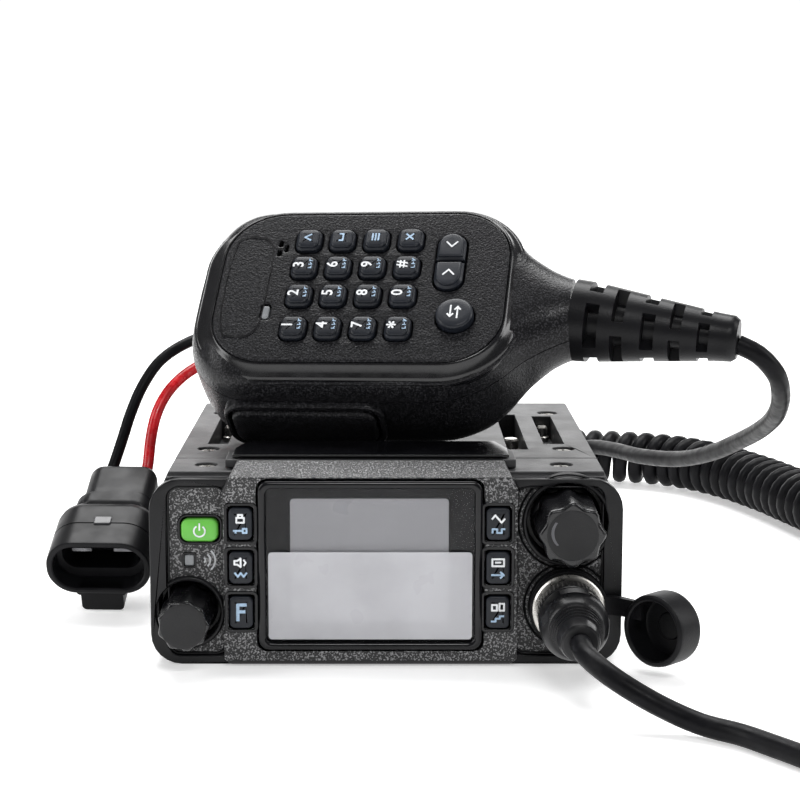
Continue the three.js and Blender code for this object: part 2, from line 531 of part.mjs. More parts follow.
add('mic_front_shell', micFrontShell(), blackPlastic, microphone);
add('mic_back_shell', micBackShell(), blackPlastic, microphone);
add('ptt_bar', pttBar(), softRubber, microphone);
const boardOutline = roundedRect(MIC_BOARD.x, 0, MIC_BOARD.w, MIC_BOARD.h, 3);
add('mic_board', raised(boardOutline, MIC_BOARD.low, MIC_BOARD.high, 0, 1, 1), board, microphone);
add('mic_capsule', raised(circle(CAPSULE.r, 14, CAPSULE.x, CAPSULE.y), CAPSULE.low, CAPSULE.high), nickel, microphone);
add('mic_boot', micBoot(), softRubber, microphone);
MIC_ROWS.forEach((y, row) => MIC_COLUMNS.forEach((x, column) => {
  const shape = roundedRect(x, y, MIC_KEY.w, MIC_KEY.h, MIC_KEY.corner);
  add(`mic_key_${MIC_KEY_NAMES[row][column]}`, raised(shape, MIC_KEY.foot, 0, 0.5, 1, 1), keyRubber, microphone);
}));
ROCKER.rows.forEach((y, row) => {
  const shape = roundedRect(ROCKER.x, y, ROCKER.w, ROCKER.h, 2);
  add(['mic_down_key', 'mic_up_key'][row], raised(shape, MIC_KEY.foot, 0, 0.5, 1, 1), keyRubber, microphone);
});
add('mic_ab_key', raised(circle(AB_KEY.r, 20, AB_KEY.x, AB_KEY.y), MIC_KEY.foot, 0.4, 0.6, 1), keyRubber, microphone);

const housing = add('power_plug', powerPlug(), blackPlastic);
const insert = add('power_plug_insert', plugInsert(), softRubber);
[housing, insert].forEach(placePowerPlug);
add('power_wire_black', tube(BLACK_ROUTE, LEAD, 8, LEAD * 2.5), softRubber);
add('power_wire_red', tube(RED_ROUTE, LEAD, 8, LEAD * 2.5), redSheath);
add('mic_cord_tail', tube(TAIL_ROUTE, CORD.d, 8, CORD.d * 2.2), softRubber);
add('mic_cord_coil', tube(COIL_ROUTE, CORD.coil, 12, CORD.coil * 0.7), softRubber);
add('mic_cord_front', tube(PLUG_CORD_ROUTE, CORD.d, 8, CORD.d * 2.2), softRubber);

export default radio;
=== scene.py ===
# Looks of the mobile radio, its hand microphone and its cords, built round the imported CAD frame.
# Units are metres. +X is to the right of the front panel, +Y runs back and +Z is up.
import math

import bmesh
import bpy
import numpy as np
from mathutils import Euler, Matrix, Vector
from mathutils.geometry import tessellate_polygon


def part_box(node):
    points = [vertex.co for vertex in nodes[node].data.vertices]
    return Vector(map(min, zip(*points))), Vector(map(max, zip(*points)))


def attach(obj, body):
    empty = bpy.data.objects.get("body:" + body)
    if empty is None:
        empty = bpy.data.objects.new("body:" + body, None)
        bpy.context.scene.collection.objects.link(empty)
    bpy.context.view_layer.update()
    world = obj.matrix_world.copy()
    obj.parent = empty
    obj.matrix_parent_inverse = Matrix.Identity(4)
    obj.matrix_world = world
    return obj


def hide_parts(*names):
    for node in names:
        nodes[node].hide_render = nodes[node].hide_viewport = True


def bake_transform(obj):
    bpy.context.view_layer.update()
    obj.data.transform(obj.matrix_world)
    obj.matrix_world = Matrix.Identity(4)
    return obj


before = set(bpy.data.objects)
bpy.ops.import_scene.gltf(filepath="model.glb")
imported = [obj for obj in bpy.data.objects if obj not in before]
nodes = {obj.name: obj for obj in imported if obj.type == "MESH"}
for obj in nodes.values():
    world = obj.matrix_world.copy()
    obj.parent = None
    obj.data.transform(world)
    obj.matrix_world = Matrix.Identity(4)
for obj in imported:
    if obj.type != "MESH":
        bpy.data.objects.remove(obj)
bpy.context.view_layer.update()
MM = 0.001


# ---- Camera, lights and floor ----
def camera():
    data = bpy.data.cameras.new("camera")
    data.lens, data.sensor_width, data.shift_x = 90, 36, 0.0175
    data.clip_start = 0.01
    cam = bpy.data.objects.new("camera", data)
    cam.location = (0, -0.530, 0.1386)
    cam.rotation_euler = (math.radians(81.19), 0, 0)
    bpy.context.collection.objects.link(cam)
    bpy.context.scene.camera = cam


def softbox(name, place, aim, size, power, colour=(1, 1, 1)):
    data = bpy.data.lights.new(name, "AREA")
    data.shape, data.size, data.size_y, data.energy, data.color = "RECTANGLE", size[0], size[1], power, colour
    lamp = bpy.data.objects.new(name, data)
    lamp.location = place
    lamp.rotation_euler = (Vector(aim) - Vector(place)).to_track_quat("-Z", "Y").to_euler()
    bpy.context.collection.objects.link(lamp)


def studio():
    world = bpy.data.worlds.new("studio")
    bpy.context.scene.world = world
    world.use_nodes = True
    tree = world.node_tree
    room = tree.nodes["Background"]
    room.inputs["Color"].default_value = (1, 1, 1, 1)
    room.inputs["Strength"].default_value = 0.16
    paper = tree.nodes.new("ShaderNodeBackground")
    paper.inputs["Color"].default_value = (1, 1, 1, 1)
    paper.inputs["Strength"].default_value = 1.05
    seen = tree.nodes.new("ShaderNodeLightPath")
    mix = tree.nodes.new("ShaderNodeMixShader")
    tree.links.new(seen.outputs["Is Camera Ray"], mix.inputs["Fac"])
    tree.links.new(room.outputs["Background"], mix.inputs[1])
    tree.links.new(paper.outputs["Background"], mix.inputs[2])
    tree.links.new(mix.outputs["Shader"], tree.nodes["World Output"].inputs["Surface"])
    softbox("top_box", (0.0, 0.5, 1.1), (0, 0.05, 0.03), (1.0, 0.7), 17)
    softbox("back_box", (0.0, 1.5, 0.4), (0, 0, 0.1), (2.2, 0.7), 10)
    softbox("left_box", (-0.8, -0.2, 0.45), (0, 0, 0.04), (0.3, 0.7), 3.4)
    softbox("right_box", (0.85, 0.0, 0.5), (0.02, 0, 0.04), (0.3, 0.7), 3.4)
    softbox("front_box", (0.15, -0.9, 0.9), (0, 0, 0.03), (0.5, 0.2), 4.5)
    bpy.context.scene.view_settings.view_transform = "Standard"


def floor():
    bpy.ops.mesh.primitive_plane_add(size=2.6, location=(0, 0, 0))
    plane = bpy.context.object
    plane.name = "floor"
    material = bpy.data.materials.new("floor_paper")
    material.use_nodes = True
    shader = material.node_tree.nodes["Principled BSDF"]
    shader.inputs["Base Color"].default_value = (0.95, 0.95, 0.95, 1)
    shader.inputs["Roughness"].default_value = 0.6
    shader.inputs["Emission Color"].default_value = (1, 1, 1, 1)
    shader.inputs["Emission Strength"].default_value = 0.4
    plane.data.materials.append(material)


camera()
studio()
floor()


# ---- Meshes ----
def piece(name, mesh, material, body="radio", smooth=35, flatten=True, stands_for=None):
    """Puts a mesh in the scene as a piece that rides on a body. It may stand for a CAD node."""
    made = bpy.data.objects.new(name, mesh)
    bpy.context.collection.objects.link(made)
    mesh.materials.clear()
    mesh.materials.append(material)
    mesh.shade_smooth()
    mesh.set_sharp_from_angle(angle=math.radians(smooth))
    if flatten:
        made.modifiers.new("flat_faces", "WEIGHTED_NORMAL").keep_sharp = True
    if body:
        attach(made, body)
    if stands_for:
        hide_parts(stands_for)
    return made


def mesh_of(name, points, faces):
    mesh = bpy.data.meshes.new(name)
    mesh.from_pydata([tuple(p) for p in points], [], faces)
    bm = bmesh.new()
    bm.from_mesh(mesh)
    bmesh.ops.remove_doubles(bm, verts=bm.verts, dist=1e-7)
    bmesh.ops.recalc_face_normals(bm, faces=bm.faces)
    bm.to_mesh(mesh)
    bm.free()
    return mesh


def front(u, v, w):
    """A point drawn as seen from the front: u to the right, v up, w towards the viewer, in millimetres."""
    return Vector((u, -w, v)) * MM


def above(u, v, w):
    """A point in the radio's own frame, in millimetres."""
    return Vector((u, v, w)) * MM


def behind(u, v, w):
    """A point drawn on the rear: u to the right seen from the front, v up, w backwards."""
    return Vector((u, w, v)) * MM


MIC_AT = Vector((-9.1, -16.9, 90)) * MM
MIC_FRAME = Matrix.Translation(MIC_AT) @ Euler([math.radians(a) for a in (44.6, -1.2,
                                                                          -11)]).to_matrix().to_4x4()


def on_mic(u, v, w):
    """A point in the hand microphone's own frame: u towards its cord, v up its face, w out of its face."""
    return MIC_FRAME @ (Vector((u, v, w)) * MM)


def middle(node):
    """The middle of a CAD node in the front view's u, v and w."""
    low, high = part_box(node)
    x, y, z = (low + high) / 2 / MM
    return x, z, -y


def box_mm(node):
    low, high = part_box(node)
    return low / MM, high / MM


def turns(count):
    """Angles of so many even steps of a full turn."""
    return [2 * math.pi * i / count for i in range(count)]


# An outline is a function of an inset that gives its points, always the same number of them.
def rounded(x, y, w, h, r, steps=8):
    def at(inset=0.0):
        out = []
        for sx, sy, start in ((1, -1, -90), (1, 1, 0), (-1, 1, 90), (-1, -1, 180)):
            cx, cy = x + sx * (w / 2 - r), y + sy * (h / 2 - r)
            for i in range(steps + 1):
                a = math.radians(start + 90 * i / steps)
                out.append((cx + (r - inset) * math.cos(a), cy + (r - inset) * math.sin(a)))
        return out
    return at


def circle(x, y, r, sides=48):
    def at(inset=0.0):
        return [(x + (r - inset) * math.cos(a), y + (r - inset) * math.sin(a)) for a in turns(sides)]
    return at


def polygon(corners):
    """A convex outline with mitred insets; its corners run anticlockwise."""
    def at(inset=0.0):
        out, n = [], len(corners)
        for i in range(n):
            p, q, r = (Vector(corners[k % n]) for k in (i - 1, i, i + 1))
            a, b = (q - p).normalized(), (r - q).normalized()
            inward = (Vector((-a.y, a.x)) + Vector((-b.y, b.x)))
            q = q + inward * (inset / max(0.2, 1 + a.dot(b)))
            out.append((q.x, q.y))
        return out
    return at


def quarter(edge, steps=4):
    """Inset and drop of a rounded edge, from the side wall to the top."""
    bends = [math.pi / 2 * i / steps for i in range(steps + 1)]
    return [(edge * (1 - math.cos(a)), edge * (1 - math.sin(a))) for a in bends]


def add_row(points, rows, ring):
    """Adds a ring of points and keeps their numbers as a row."""
    rows.append(list(range(len(points), len(points) + len(ring))))
    points += ring


def skin(rows):
    """Faces between rows of point numbers that close on themselves."""
    faces = []
    for a, b in zip(rows, rows[1:]):
        for i in range(len(a)):
            j = (i + 1) % len(a)
            faces.append((a[i], a[j], b[j], b[i]))
    return faces


def capped(rows):
    """The faces between rows, and one at either end."""
    return skin(rows) + [tuple(rows[0]), tuple(rows[-1])]


def stacked(name, levels, place, hollow=False):
    """A closed solid from outlines at rising heights, capped at both ends, or a closed ring if hollow."""
    points, rows = [], []
    for outline, w in levels:
        add_row(points, rows, [place(u, v, w) for u, v in outline])
    return mesh_of(name, points, skin(rows + rows[:1]) if hollow else capped(rows))


def tube_levels(outline, low, high):
    """The two levels of a plain extrusion."""
    return [(outline, low), (outline, high)]


def slab(name, outline, low, high, place, edge=0.3):
    """An extruded outline with a rounded upper edge."""
    levels = [(outline(0), low)] + [(outline(inset), high - drop) for inset, drop in quarter(edge)]
    return stacked(name, levels, place)


def plate(name, outer, holes, low, high, place, edge=0.3):
    """A flat plate with holes; the upper edges of its rim and of its holes are rounded."""
    points, faces, feet, tops = [], [], [], []
    for outline, sign in [(outer, 1)] + [(hole, -1) for hole in holes]:
        levels = [(outline(0), low)] + [(outline(sign * inset), high - drop) for inset,
                                        drop in quarter(edge, 3)]
        rows = []
        for ring, w in levels:
            add_row(points, rows, [place(u, v, w) for u, v in ring])
        faces += skin(rows)
        feet.append((rows[0], levels[0][0]))
        tops.append((rows[-1], levels[-1][0]))
    for ends in (feet, tops):
        numbers = [i for row, _ in ends for i in row]
        flat = [[Vector((u, v, 0)) for u, v in ring] for _, ring in ends]
        faces += [tuple(numbers[i] for i in tri) for tri in tessellate_polygon(flat)]
    return mesh_of(name, points, faces)


def framed(name, outer, inner, low, high, place, edge=0.2):
    """A flat frame between two outlines with as many points each, its upper edges rounded."""
    levels = [(outer(0), low)] + [(outer(inset), high - drop) for inset, drop in quarter(edge, 3)]
    levels += [(inner(-inset), high - drop) for inset, drop in quarter(edge, 3)[::-1]] + [(inner(0), low)]
    return stacked(name, levels, place, hollow=True)


def turned(name, profile, place, x=0.0, y=0.0, sides=64):
    """A profile of (radius, height) turned about the line u = x, v = y; it ends on that line or closes."""
    solid = profile[0][0] == 0
    points, rows = [], []
    for r, w in profile[1:-1] if solid else profile:
        ring = [place(x + r * math.cos(a), y + r * math.sin(a), w) for a in turns(sides)]
        add_row(points, rows, ring)
    return mesh_of(name, points, capped(rows) if solid else skin(rows + rows[:1]))


def merged(name, meshes):
    """Several closed meshes as one."""
    bm = bmesh.new()
    for one in meshes:
        bm.from_mesh(one)
    mesh = bpy.data.meshes.new(name)
    bm.to_mesh(mesh)
    bm.free()
    return mesh


def strokes(name, lines, width, thick, place):
    """Flat raised lines, each given as points and a height; their tops differ a little, so none coincide."""
    meshes = []
    for line, w in lines:
        for start, end in zip(line, line[1:]):
            start, end = Vector(start), Vector(end)
            along = (end - start).normalized() * (width * 0.5)
            side = Vector((-along.y, along.x))
            a, b = start - along * 0.6, end + along * 0.6
            ring = [(p.x, p.y) for p in (a + side, a - side, b - side, b + side)]
            rise = thick + 0.004 * (len(meshes) % 9)
            meshes.append(stacked(name, tube_levels(ring, w, w + rise), place))
    return merged(name, meshes)


def evaluated(made):
    """An object's mesh with its modifiers applied."""
    return bpy.data.meshes.new_from_object(made.evaluated_get(bpy.context.evaluated_depsgraph_get()))


def lettering(name, text, size, place, thick=0.03):
    """A digit or sign in the built-in face, centred on u = v = 0."""
    curve = bpy.data.curves.new(name, "FONT")
    curve.body, curve.size, curve.extrude, curve.resolution_u = text, size, thick / 2, 3
    curve.align_x, curve.align_y, curve.offset = "CENTER", "CENTER", size * 0.018
    made = bpy.data.objects.new(name, curve)
    bpy.context.collection.objects.link(made)
    shape = evaluated(made)
    bpy.data.objects.remove(made)
    points = [place(*v.co) for v in shape.vertices]
    return mesh_of(name, points, [tuple(p.vertices) for p in shape.polygons])


def softened(node, name, material, width):
    """A copy of a CAD node with rounded edges, which stands for it."""
    bm = bmesh.new()
    bm.from_mesh(nodes[node].data)
    bmesh.ops.remove_doubles(bm, verts=bm.verts, dist=2e-6)
    mesh = bpy.data.meshes.new(name)
    bm.to_mesh(mesh)
    bm.free()
    made = piece(name, mesh, material, flatten=False, stands_for=node)
    bevel = made.modifiers.new("rounded_edges", "BEVEL")
    bevel.width, bevel.segments, bevel.limit_method = width * MM, 2, "ANGLE"
    bevel.angle_limit, bevel.use_clamp_overlap, bevel.miter_outer = math.radians(30), False, "MITER_ARC"
    made.modifiers.new("flat_faces", "WEIGHTED_NORMAL").keep_sharp = False
    return made


def spline(points, spacing):
    """A centripetal Catmull-Rom curve through the points, sampled about every spacing."""
    p = np.array(points, float)
    p = np.vstack([2 * p[0] - p[1], p, 2 * p[-1] - p[-2]])
    out = []
    for a, b, c, d in zip(p[:-3], p[1:-2], p[2:-1], p[3:]):
        t = np.cumsum([0, *(max(np.linalg.norm(v - u), 1e-9) ** 0.5 for u, v in ((a, b), (b, c), (c, d)))])
        n = max(2, round(np.linalg.norm(c - b) / spacing))
        for s in np.linspace(t[1], t[2], n, endpoint=False):
            ab = a + (b - a) * (s - t[0]) / (t[1] - t[0])
            bc = b + (c - b) * (s - t[1]) / (t[2] - t[1])
            cd = c + (d - c) * (s - t[2]) / (t[3] - t[2])
            abc = ab + (bc - ab) * (s - t[0]) / (t[2] - t[0])
            bcd = bc + (cd - bc) * (s - t[1]) / (t[3] - t[1])
            out.append(abc + (bcd - abc) * (s - t[1]) / (t[2] - t[1]))
    out.append(p[-2])
    return np.array(out)


def swept(name, path, radius, sides=12):
    """A round tube with closed ends along a path, without twist."""
    path = np.array(path, float)
    tangents = np.gradient(path, axis=0)
    tangents /= np.linalg.norm(tangents, axis=1)[:, None]
    side = np.cross(tangents[0], (0, 0, 1) if abs(tangents[0][2]) < 0.9 else (1, 0, 0))
    side /= np.linalg.norm(side)
    points, faces = [], []
    for i, (centre, along) in enumerate(zip(path, tangents)):
        side = side - along * side.dot(along)
        side /= np.linalg.norm(side)
        up = np.cross(along, side)
        r = radius(i / (len(path) - 1)) if callable(radius) else radius
        for k in range(sides):
            a = 2 * math.pi * k / sides
            points.append(centre + r * (math.cos(a) * side + math.sin(a) * up))
    for i in range(len(path) - 1):
        for k in range(sides):
            j = (k + 1) % sides
            faces.append((i * sides + k, i * sides + j, (i + 1) * sides + j, (i + 1) * sides + k))
    faces.append(tuple(range(sides)))
    faces.append(tuple(range((len(path) - 1) * sides, len(path) * sides)))
    return mesh_of(name, points, faces)


# ---- Materials ----
class Look:
    """A Principled material with small helpers for its procedural detail."""

    def __init__(self, name, colour, roughness, metallic=0.0, specular=0.5, alpha=1.0):
        self.material = bpy.data.materials.new(name)
        self.material.use_nodes = True
        self.tree = self.material.node_tree
        self.shader = self.tree.nodes["Principled BSDF"]
        self.colour, self.roughness = colour, roughness
        sockets = {"Base Color": (*colour, 1), "Roughness": roughness, "Metallic": metallic,
                   "Specular IOR Level": specular, "Alpha": alpha}
        for socket, value in sockets.items():
            self.shader.inputs[socket].default_value = value
        self.place = self.node("ShaderNodeTexCoord").outputs["Object"]
        self.normal = None

    def node(self, kind, **settings):
        made = self.tree.nodes.new(kind)
        for key, value in settings.items():
            setattr(made, key, value)
        return made

    def link(self, a, b):
        self.tree.links.new(a, b)

    def noise(self, scale, detail):
        texture = self.node("ShaderNodeTexNoise")
        texture.inputs["Scale"].default_value = scale
        texture.inputs["Detail"].default_value = detail
        self.link(self.place, texture.inputs["Vector"])
        return texture.outputs["Fac"]

    def cells(self, scale):
        texture = self.node("ShaderNodeTexVoronoi", feature="SMOOTH_F1")
        texture.inputs["Scale"].default_value = scale
        self.link(self.place, texture.inputs["Vector"])
        return texture.outputs["Distance"]

    def ramp(self, value, low, high, at=(0.35, 0.65)):
        ramp = self.node("ShaderNodeValToRGB")
        for element, place, colour in zip(ramp.color_ramp.elements, at, (low, high)):
            element.position = place
            element.color = (*colour, 1) if hasattr(colour, "__len__") else (colour, colour, colour, 1)
        self.link(value, ramp.inputs["Fac"])
        return ramp.outputs["Color"]

    def bump(self, height, strength, distance):
        bump = self.node("ShaderNodeBump")
        bump.inputs["Strength"].default_value = strength
        bump.inputs["Distance"].default_value = distance
        self.link(height, bump.inputs["Height"])
        if self.normal:
            self.link(self.normal, bump.inputs["Normal"])
        self.normal = bump.outputs["Normal"]
        self.link(self.normal, self.shader.inputs["Normal"])
        return self

    def painted_glints(self, size, colour, share, roughness):
        """Painted glints: small bright specks over a share of the surface, with their own roughness, standing
        in for light that the grain catches; size is in metres.
        """
        grain = self.noise(1 / size, 1)
        edge = 0.5 + 0.2 * (0.5 - share)
        step = (edge, edge + 0.07)
        self.link(self.ramp(grain, self.colour, colour, step), self.shader.inputs["Base Color"])
        self.link(self.ramp(grain, self.roughness, roughness, step), self.shader.inputs["Roughness"])
        return self

    def mottle(self, scale, spread, rough_spread=0.1):
        """Uneven colour and gloss: the base colour and roughness drift either side of their values."""
        value = self.noise(scale, 4)
        low = tuple(c * (1 - spread) for c in self.colour)
        high = tuple(min(1, c * (1 + spread)) for c in self.colour)
        self.link(self.ramp(value, low, high), self.shader.inputs["Base Color"])
        gloss = self.noise(scale * 2.3, 3)
        r = self.roughness
        steps = self.ramp(gloss, max(0, r - rough_spread), min(1, r + rough_spread))
        self.link(steps, self.shader.inputs["Roughness"])
        return self


def grained(name, colour, roughness, grain, depth, mottle=0.2, specular=0.5):
    """Moulded or painted surface with a pebbled grain; its size and depth are in metres."""
    look = Look(name, colour, roughness, specular=specular).mottle(60, mottle, 0.04)
    look.bump(look.cells(1 / grain), 0.8, depth)
    look.bump(look.noise(0.35 / grain, 3), 0.5, depth)
    return look.material


def plain(name, colour, roughness, scale, spread, rough_spread, **sockets):
    """Smooth surface with uneven colour and gloss."""
    return Look(name, colour, roughness, **sockets).mottle(scale, spread, rough_spread).material


def ink(name, colour):
    return plain(name, colour, 0.5, 700, 0.12, 0.05)


def sheath(name, colour, roughness, specular=0.5):
    """Cable sheath with a faint unevenness."""
    look = Look(name, colour, roughness, specular=specular).mottle(180, 0.25, 0.08)
    look.bump(look.noise(900, 2), 0.15, 0.00005)
    return look.material


GRAIN = 0.00042  # metres, of the leather and microphone grain
# Leather: real grain in its bumps, and bright specks that are painted glints, light caught by the grain.
leather = Look("leather_grain_and_glints", (0.011, 0.011, 0.012), 0.36).painted_glints(GRAIN, (0.24, 0.24, 0.245), 0.3, 0.25)
leather.bump(leather.noise(1 / GRAIN, 1), 0.9, 0.00035)
leather_grain_and_glints = leather.bump(leather.cells(1 / 0.0016), 0.5, 0.0002).material
# Microphone grain: real pebbled bumps, and faint bright specks that are painted glints.
pebbled = Look("mic_grain_and_glints", (0.0055, 0.0055, 0.0065), 0.34, specular=0.17)
pebbled.painted_glints(GRAIN, (0.035, 0.035, 0.038), 0.35, 0.22).bump(pebbled.cells(1 / 0.0005), 0.8, 0.00009)
mic_grain_and_glints = pebbled.bump(pebbled.noise(0.35 / 0.0005, 3), 0.5, 0.00009).material

case_paint = grained("case_paint", (0.028, 0.028, 0.03), 0.44, 0.00045, 0.00006, mottle=0.08)
bezel_plastic = grained("bezel_plastic", (0.008, 0.008, 0.009), 0.32, 0.0005, 0.00002, specular=0.24)
soft_rubber = grained("soft_rubber", (0.006, 0.006, 0.007), 0.42, 0.0004, 0.00003, specular=0.16)
key_rubber = grained("key_rubber", (0.01, 0.012, 0.017), 0.4, 0.0003, 0.00002, specular=0.3)
knob_rubber = grained("knob_rubber", (0.005, 0.005, 0.006), 0.26, 0.0004, 0.00002)
knob_face = grained("knob_face", (0.014, 0.014, 0.015), 0.5, 0.0004, 0.00004, specular=0.3)
# Lighter grey for the dial's crescent: a painted highlight of a finger dimple's rim.
dimple_highlight = grained("dimple_highlight", (0.1, 0.1, 0.11), 0.5, 0.0004, 0.00002)
plug_black = grained("plug_black", (0.006, 0.006, 0.007), 0.3, 0.0004, 0.00002, specular=0.3)
boot_rubber = grained("boot_rubber", (0.006, 0.006, 0.007), 0.36, 0.0004, 0.00003, specular=0.16)
green_rubber = grained("green_rubber", (0.11, 0.42, 0.05), 0.4, 0.0003, 0.00002)
board_green = grained("board_green", (0.02, 0.14, 0.05), 0.4, 0.001, 0.00003)

gloss_black = plain("gloss_black", (0.004, 0.004, 0.005), 0.14, 90, 0.3, 0.04, specular=0.3)
mic_gloss = plain("mic_gloss", (0.005, 0.005, 0.006), 0.2, 110, 0.3, 0.05)
plug_gloss = plain("plug_gloss", (0.006, 0.006, 0.007), 0.34, 80, 0.3, 0.06, specular=0.14)
clip_grey = plain("clip_grey", (0.06, 0.06, 0.065), 0.3, 120, 0.2, 0.06)
dark_steel = plain("dark_steel", (0.2, 0.2, 0.21), 0.32, 300, 0.3, 0.1, metallic=1.0)
nickel = plain("nickel_plate", (0.72, 0.7, 0.66), 0.3, 200, 0.12, 0.08, metallic=1.0)
lamp_grey = plain("lamp_grey", (0.2, 0.21, 0.22), 0.25, 300, 0.15, 0.05)
screen_grey = plain("screen_grey", (0.3, 0.3, 0.32), 0.3, 18, 0.06, 0.05)
lens_glass = plain("lens_glass", (0.02, 0.02, 0.022), 0.03, 60, 0.02, 0.01, alpha=0.05, specular=0.12)
# Pale half-clear sheet: a painted reflection on the display's glass.
painted_reflection = plain("painted_reflection", (0.8, 0.8, 0.84), 0.35, 45, 0.1, 0.1, alpha=0.4)
white_ink = ink("white_ink", (0.78, 0.8, 0.82))
blue_ink = ink("blue_ink", (0.36, 0.5, 0.66))
pale_ink = ink("pale_ink", (0.45, 0.46, 0.48))
black_sheath = sheath("black_sheath", (0.005, 0.005, 0.006), 0.4, specular=0.09)
red_sheath = sheath("red_sheath", (0.55, 0.008, 0.014), 0.28)


# ---- Cords ----
# Routes are in millimetres, in the radio's own frame.
WIRE = 5 * MM
LEAD = 3.2 * MM
COIL_RADIUS = 6.75 * MM  # of the helix that the wire's centre follows
COIL_PITCH = (6.4 * MM, 5.25 * MM)  # at the microphone's end and at the plug's end
TURN_POINTS = 18
COIL_ROUTE = [[34, 176.5, 9.6], [52, 176.8, 9.6], [72, 173.6, 9.6], [90, 168.5, 9.6], [103, 160.5, 9.6],
              [114.5, 145, 9.6], [124, 123.5, 9.6], [132, 97, 9.6], [140, 68, 9.6], [148, 40, 9.6],
              [155, 14, 9.6], [159, -10, 9.6]]
TAIL_ROUTE = [[88.8, -28.4, 75.2], [94, -29.2, 72.6], [99, -26.5, 67.5], [102, -19, 61.4], [104, -5, 54],
              [104.5, 17, 46], [102, 40.6, 38], [97, 62, 30.5], [91, 83, 25], [82.3, 107, 21.5], [76.6, 126,
                                                                                                  20],
              [69.7, 143, 18], [57, 155.5, 13.6], [41, 160.5, 8], [25, 161.5, 4], [11, 164, 2.7], [1.5, 172,
                                                                                                   2.6],
              [1, 184, 2.6], [9, 193.5, 2.6], [20.5, 194, 2.7], [28.5, 187.5, 2.8]]
PLUG_CORD_ROUTE = [[44.2, -90.4, 14.4], [44.5, -96, 13.9], [47.6, -102.6, 12.2], [53, -106.5, 9.2],
                   [60, -109.5, 5.8], [68, -113.6, 3.2], [76, -119.6, 2.7], [82.5, -128, 2.6], [90.5,
                                                                                                -138.5, 2.6],
                   [102, -145.5, 2.6], [116, -146.5, 2.6], [130, -140, 2.6], [141, -126, 2.6], [148, -106,
                                                                                                2.6],
                   [151, -83, 2.6], [150.5, -60, 2.6], [148, -42, 2.6], [144.8, -28, 2.6], [146.5, -18.5,
                                                                                            2.7]]
BLACK_ROUTE = [[-78.4, 22, 29.7], [-77.2, 25, 33], [-74.6, 28, 41], [-72.4, 30, 48], [-69.2, 33, 55.5],
               [-64.6, 38, 62], [-57.4, 44, 66.4], [-48, 54, 68], [-40, 65, 64], [-34.4, 75.4, 54], [-31.6,
                                                                                                     82, 42],
               [-30.6, 82, 30.5], [-30.4, 76, 21.6], [-30.4, 70, 20.2], [-30.4, 65.5, 20]]
RED_ROUTE = [[-68.4, 22, 29.9], [-67.4, 25, 33], [-66.6, 28, 41], [-65.2, 30.5, 47.6], [-62.4, 34, 53.2],
             [-58, 38.5, 57.6], [-51.6, 45, 60.6], [-43, 54, 60.4], [-34.6, 63.6, 56.4], [-28.6, 71.4, 49],
             [-25.8, 76.6, 39.6], [-25.4, 77.4, 29], [-25.5, 74.2, 22], [-25.6, 70, 20.2], [-25.6, 65.5, 20]]


def in_metres(route):
    return np.array(route, float) * MM


def helix(route):
    """The wire's path in the curly part: it starts and ends at the bottom of a turn."""
    axis = spline(in_metres(route), 0.5 * MM)
    steps = np.linalg.norm(np.diff(axis, axis=0), axis=1)
    along = np.concatenate([[0], np.cumsum(steps)])
    pitch = np.interp(along, (0, along[-1]), COIL_PITCH)
    wound = np.concatenate([[0], np.cumsum(steps / ((pitch[1:] + pitch[:-1]) / 2))])
    coils = round(wound[-1])
    wound *= coils / wound[-1]

    def axis_at(s):
        return np.array([np.interp(s, along, axis[:, k]) for k in range(3)])
    out = []
    for t in np.linspace(0, coils, coils * TURN_POINTS + 1):
        s = np.interp(t, wound, along)
        here = axis_at(s)
        run = axis_at(min(s + MM, along[-1])) - axis_at(max(s - MM, 0))
        forward = run / np.linalg.norm(run)
        side = np.cross((0, 0, 1), forward)
        a = 2 * math.pi * t
        out.append(here - COIL_RADIUS * (math.cos(a) * np.array((0, 0, 1)) + math.sin(a) * side))
    return np.array(out)


def microphone_cord():
    coil = helix(COIL_ROUTE)
    lead_in = spline(np.vstack([in_metres(TAIL_ROUTE), coil[1], coil[3]]), 2.2 * MM)
    lead_out = spline(np.vstack([coil[-4], coil[-2], in_metres(PLUG_CORD_ROUTE)[::-1]]), 2.2 * MM)
    entry = int(np.argmin(np.linalg.norm(lead_in - coil[1], axis=1)))
    leave = int(np.argmin(np.linalg.norm(lead_out - coil[-2], axis=1)))
    path = np.vstack([lead_in[:entry], coil[1:-1], lead_out[leave + 1:]])
    mesh = swept("microphone_cord", path, WIRE / 2, 12)
    cord = piece("microphone_cord", mesh, black_sheath, body=None, flatten=False)
    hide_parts("mic_cord_tail", "mic_cord_coil", "mic_cord_front")
    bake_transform(cord)


def power_wire(node, route, material):
    path = spline(in_metres(route), 2 * MM)
    name = node + "_lead"
    wire = piece(name, swept(name, path, LEAD / 2, 14), material, flatten=False, stands_for=node)


# ---- Radio: casing ----
SCREWS = [(-46.6, 37), (46.2, 37), (-45.8, -21), (45.8, -21), (-44.4, -43), (43.4, -43)]
SCREW_SEAT = 45.2  # height of the screws' recess floors
SLOT_POSTS = [(44, 27, 1.5), (34, 6.5, 2.1), (-44, 27, 1.5), (-34, 6.5, 2.1)]  # x, y, radius
SLOT_FLOOR = 40.6
POST_TOP = 44.9


def cross(x, y, reach, half):
    """A plus-shaped outline, for a cross recess."""
    corners = []
    for c, s in [(1, 0), (0, 1), (-1, 0), (0, -1)]:
        for u, v in ((reach, -half), (reach, half), (half, half)):
            corners.append((x + u * c - v * s, y + u * s + v * c))
    return lambda inset=0.0: corners


def screw(name, x, y, seat, place, r=2.5, rise=0.9):
    head = plate(name, circle(x, y, r, 32), [cross(x, y, r * 0.56, r * 0.13)], seat, seat + rise, place, 0.25)
    floor_disc = slab(name, circle(x, y, r * 0.8, 24), seat - 0.3, seat + 0.25, place, 0.1)
    return merged(name, [head, floor_disc])


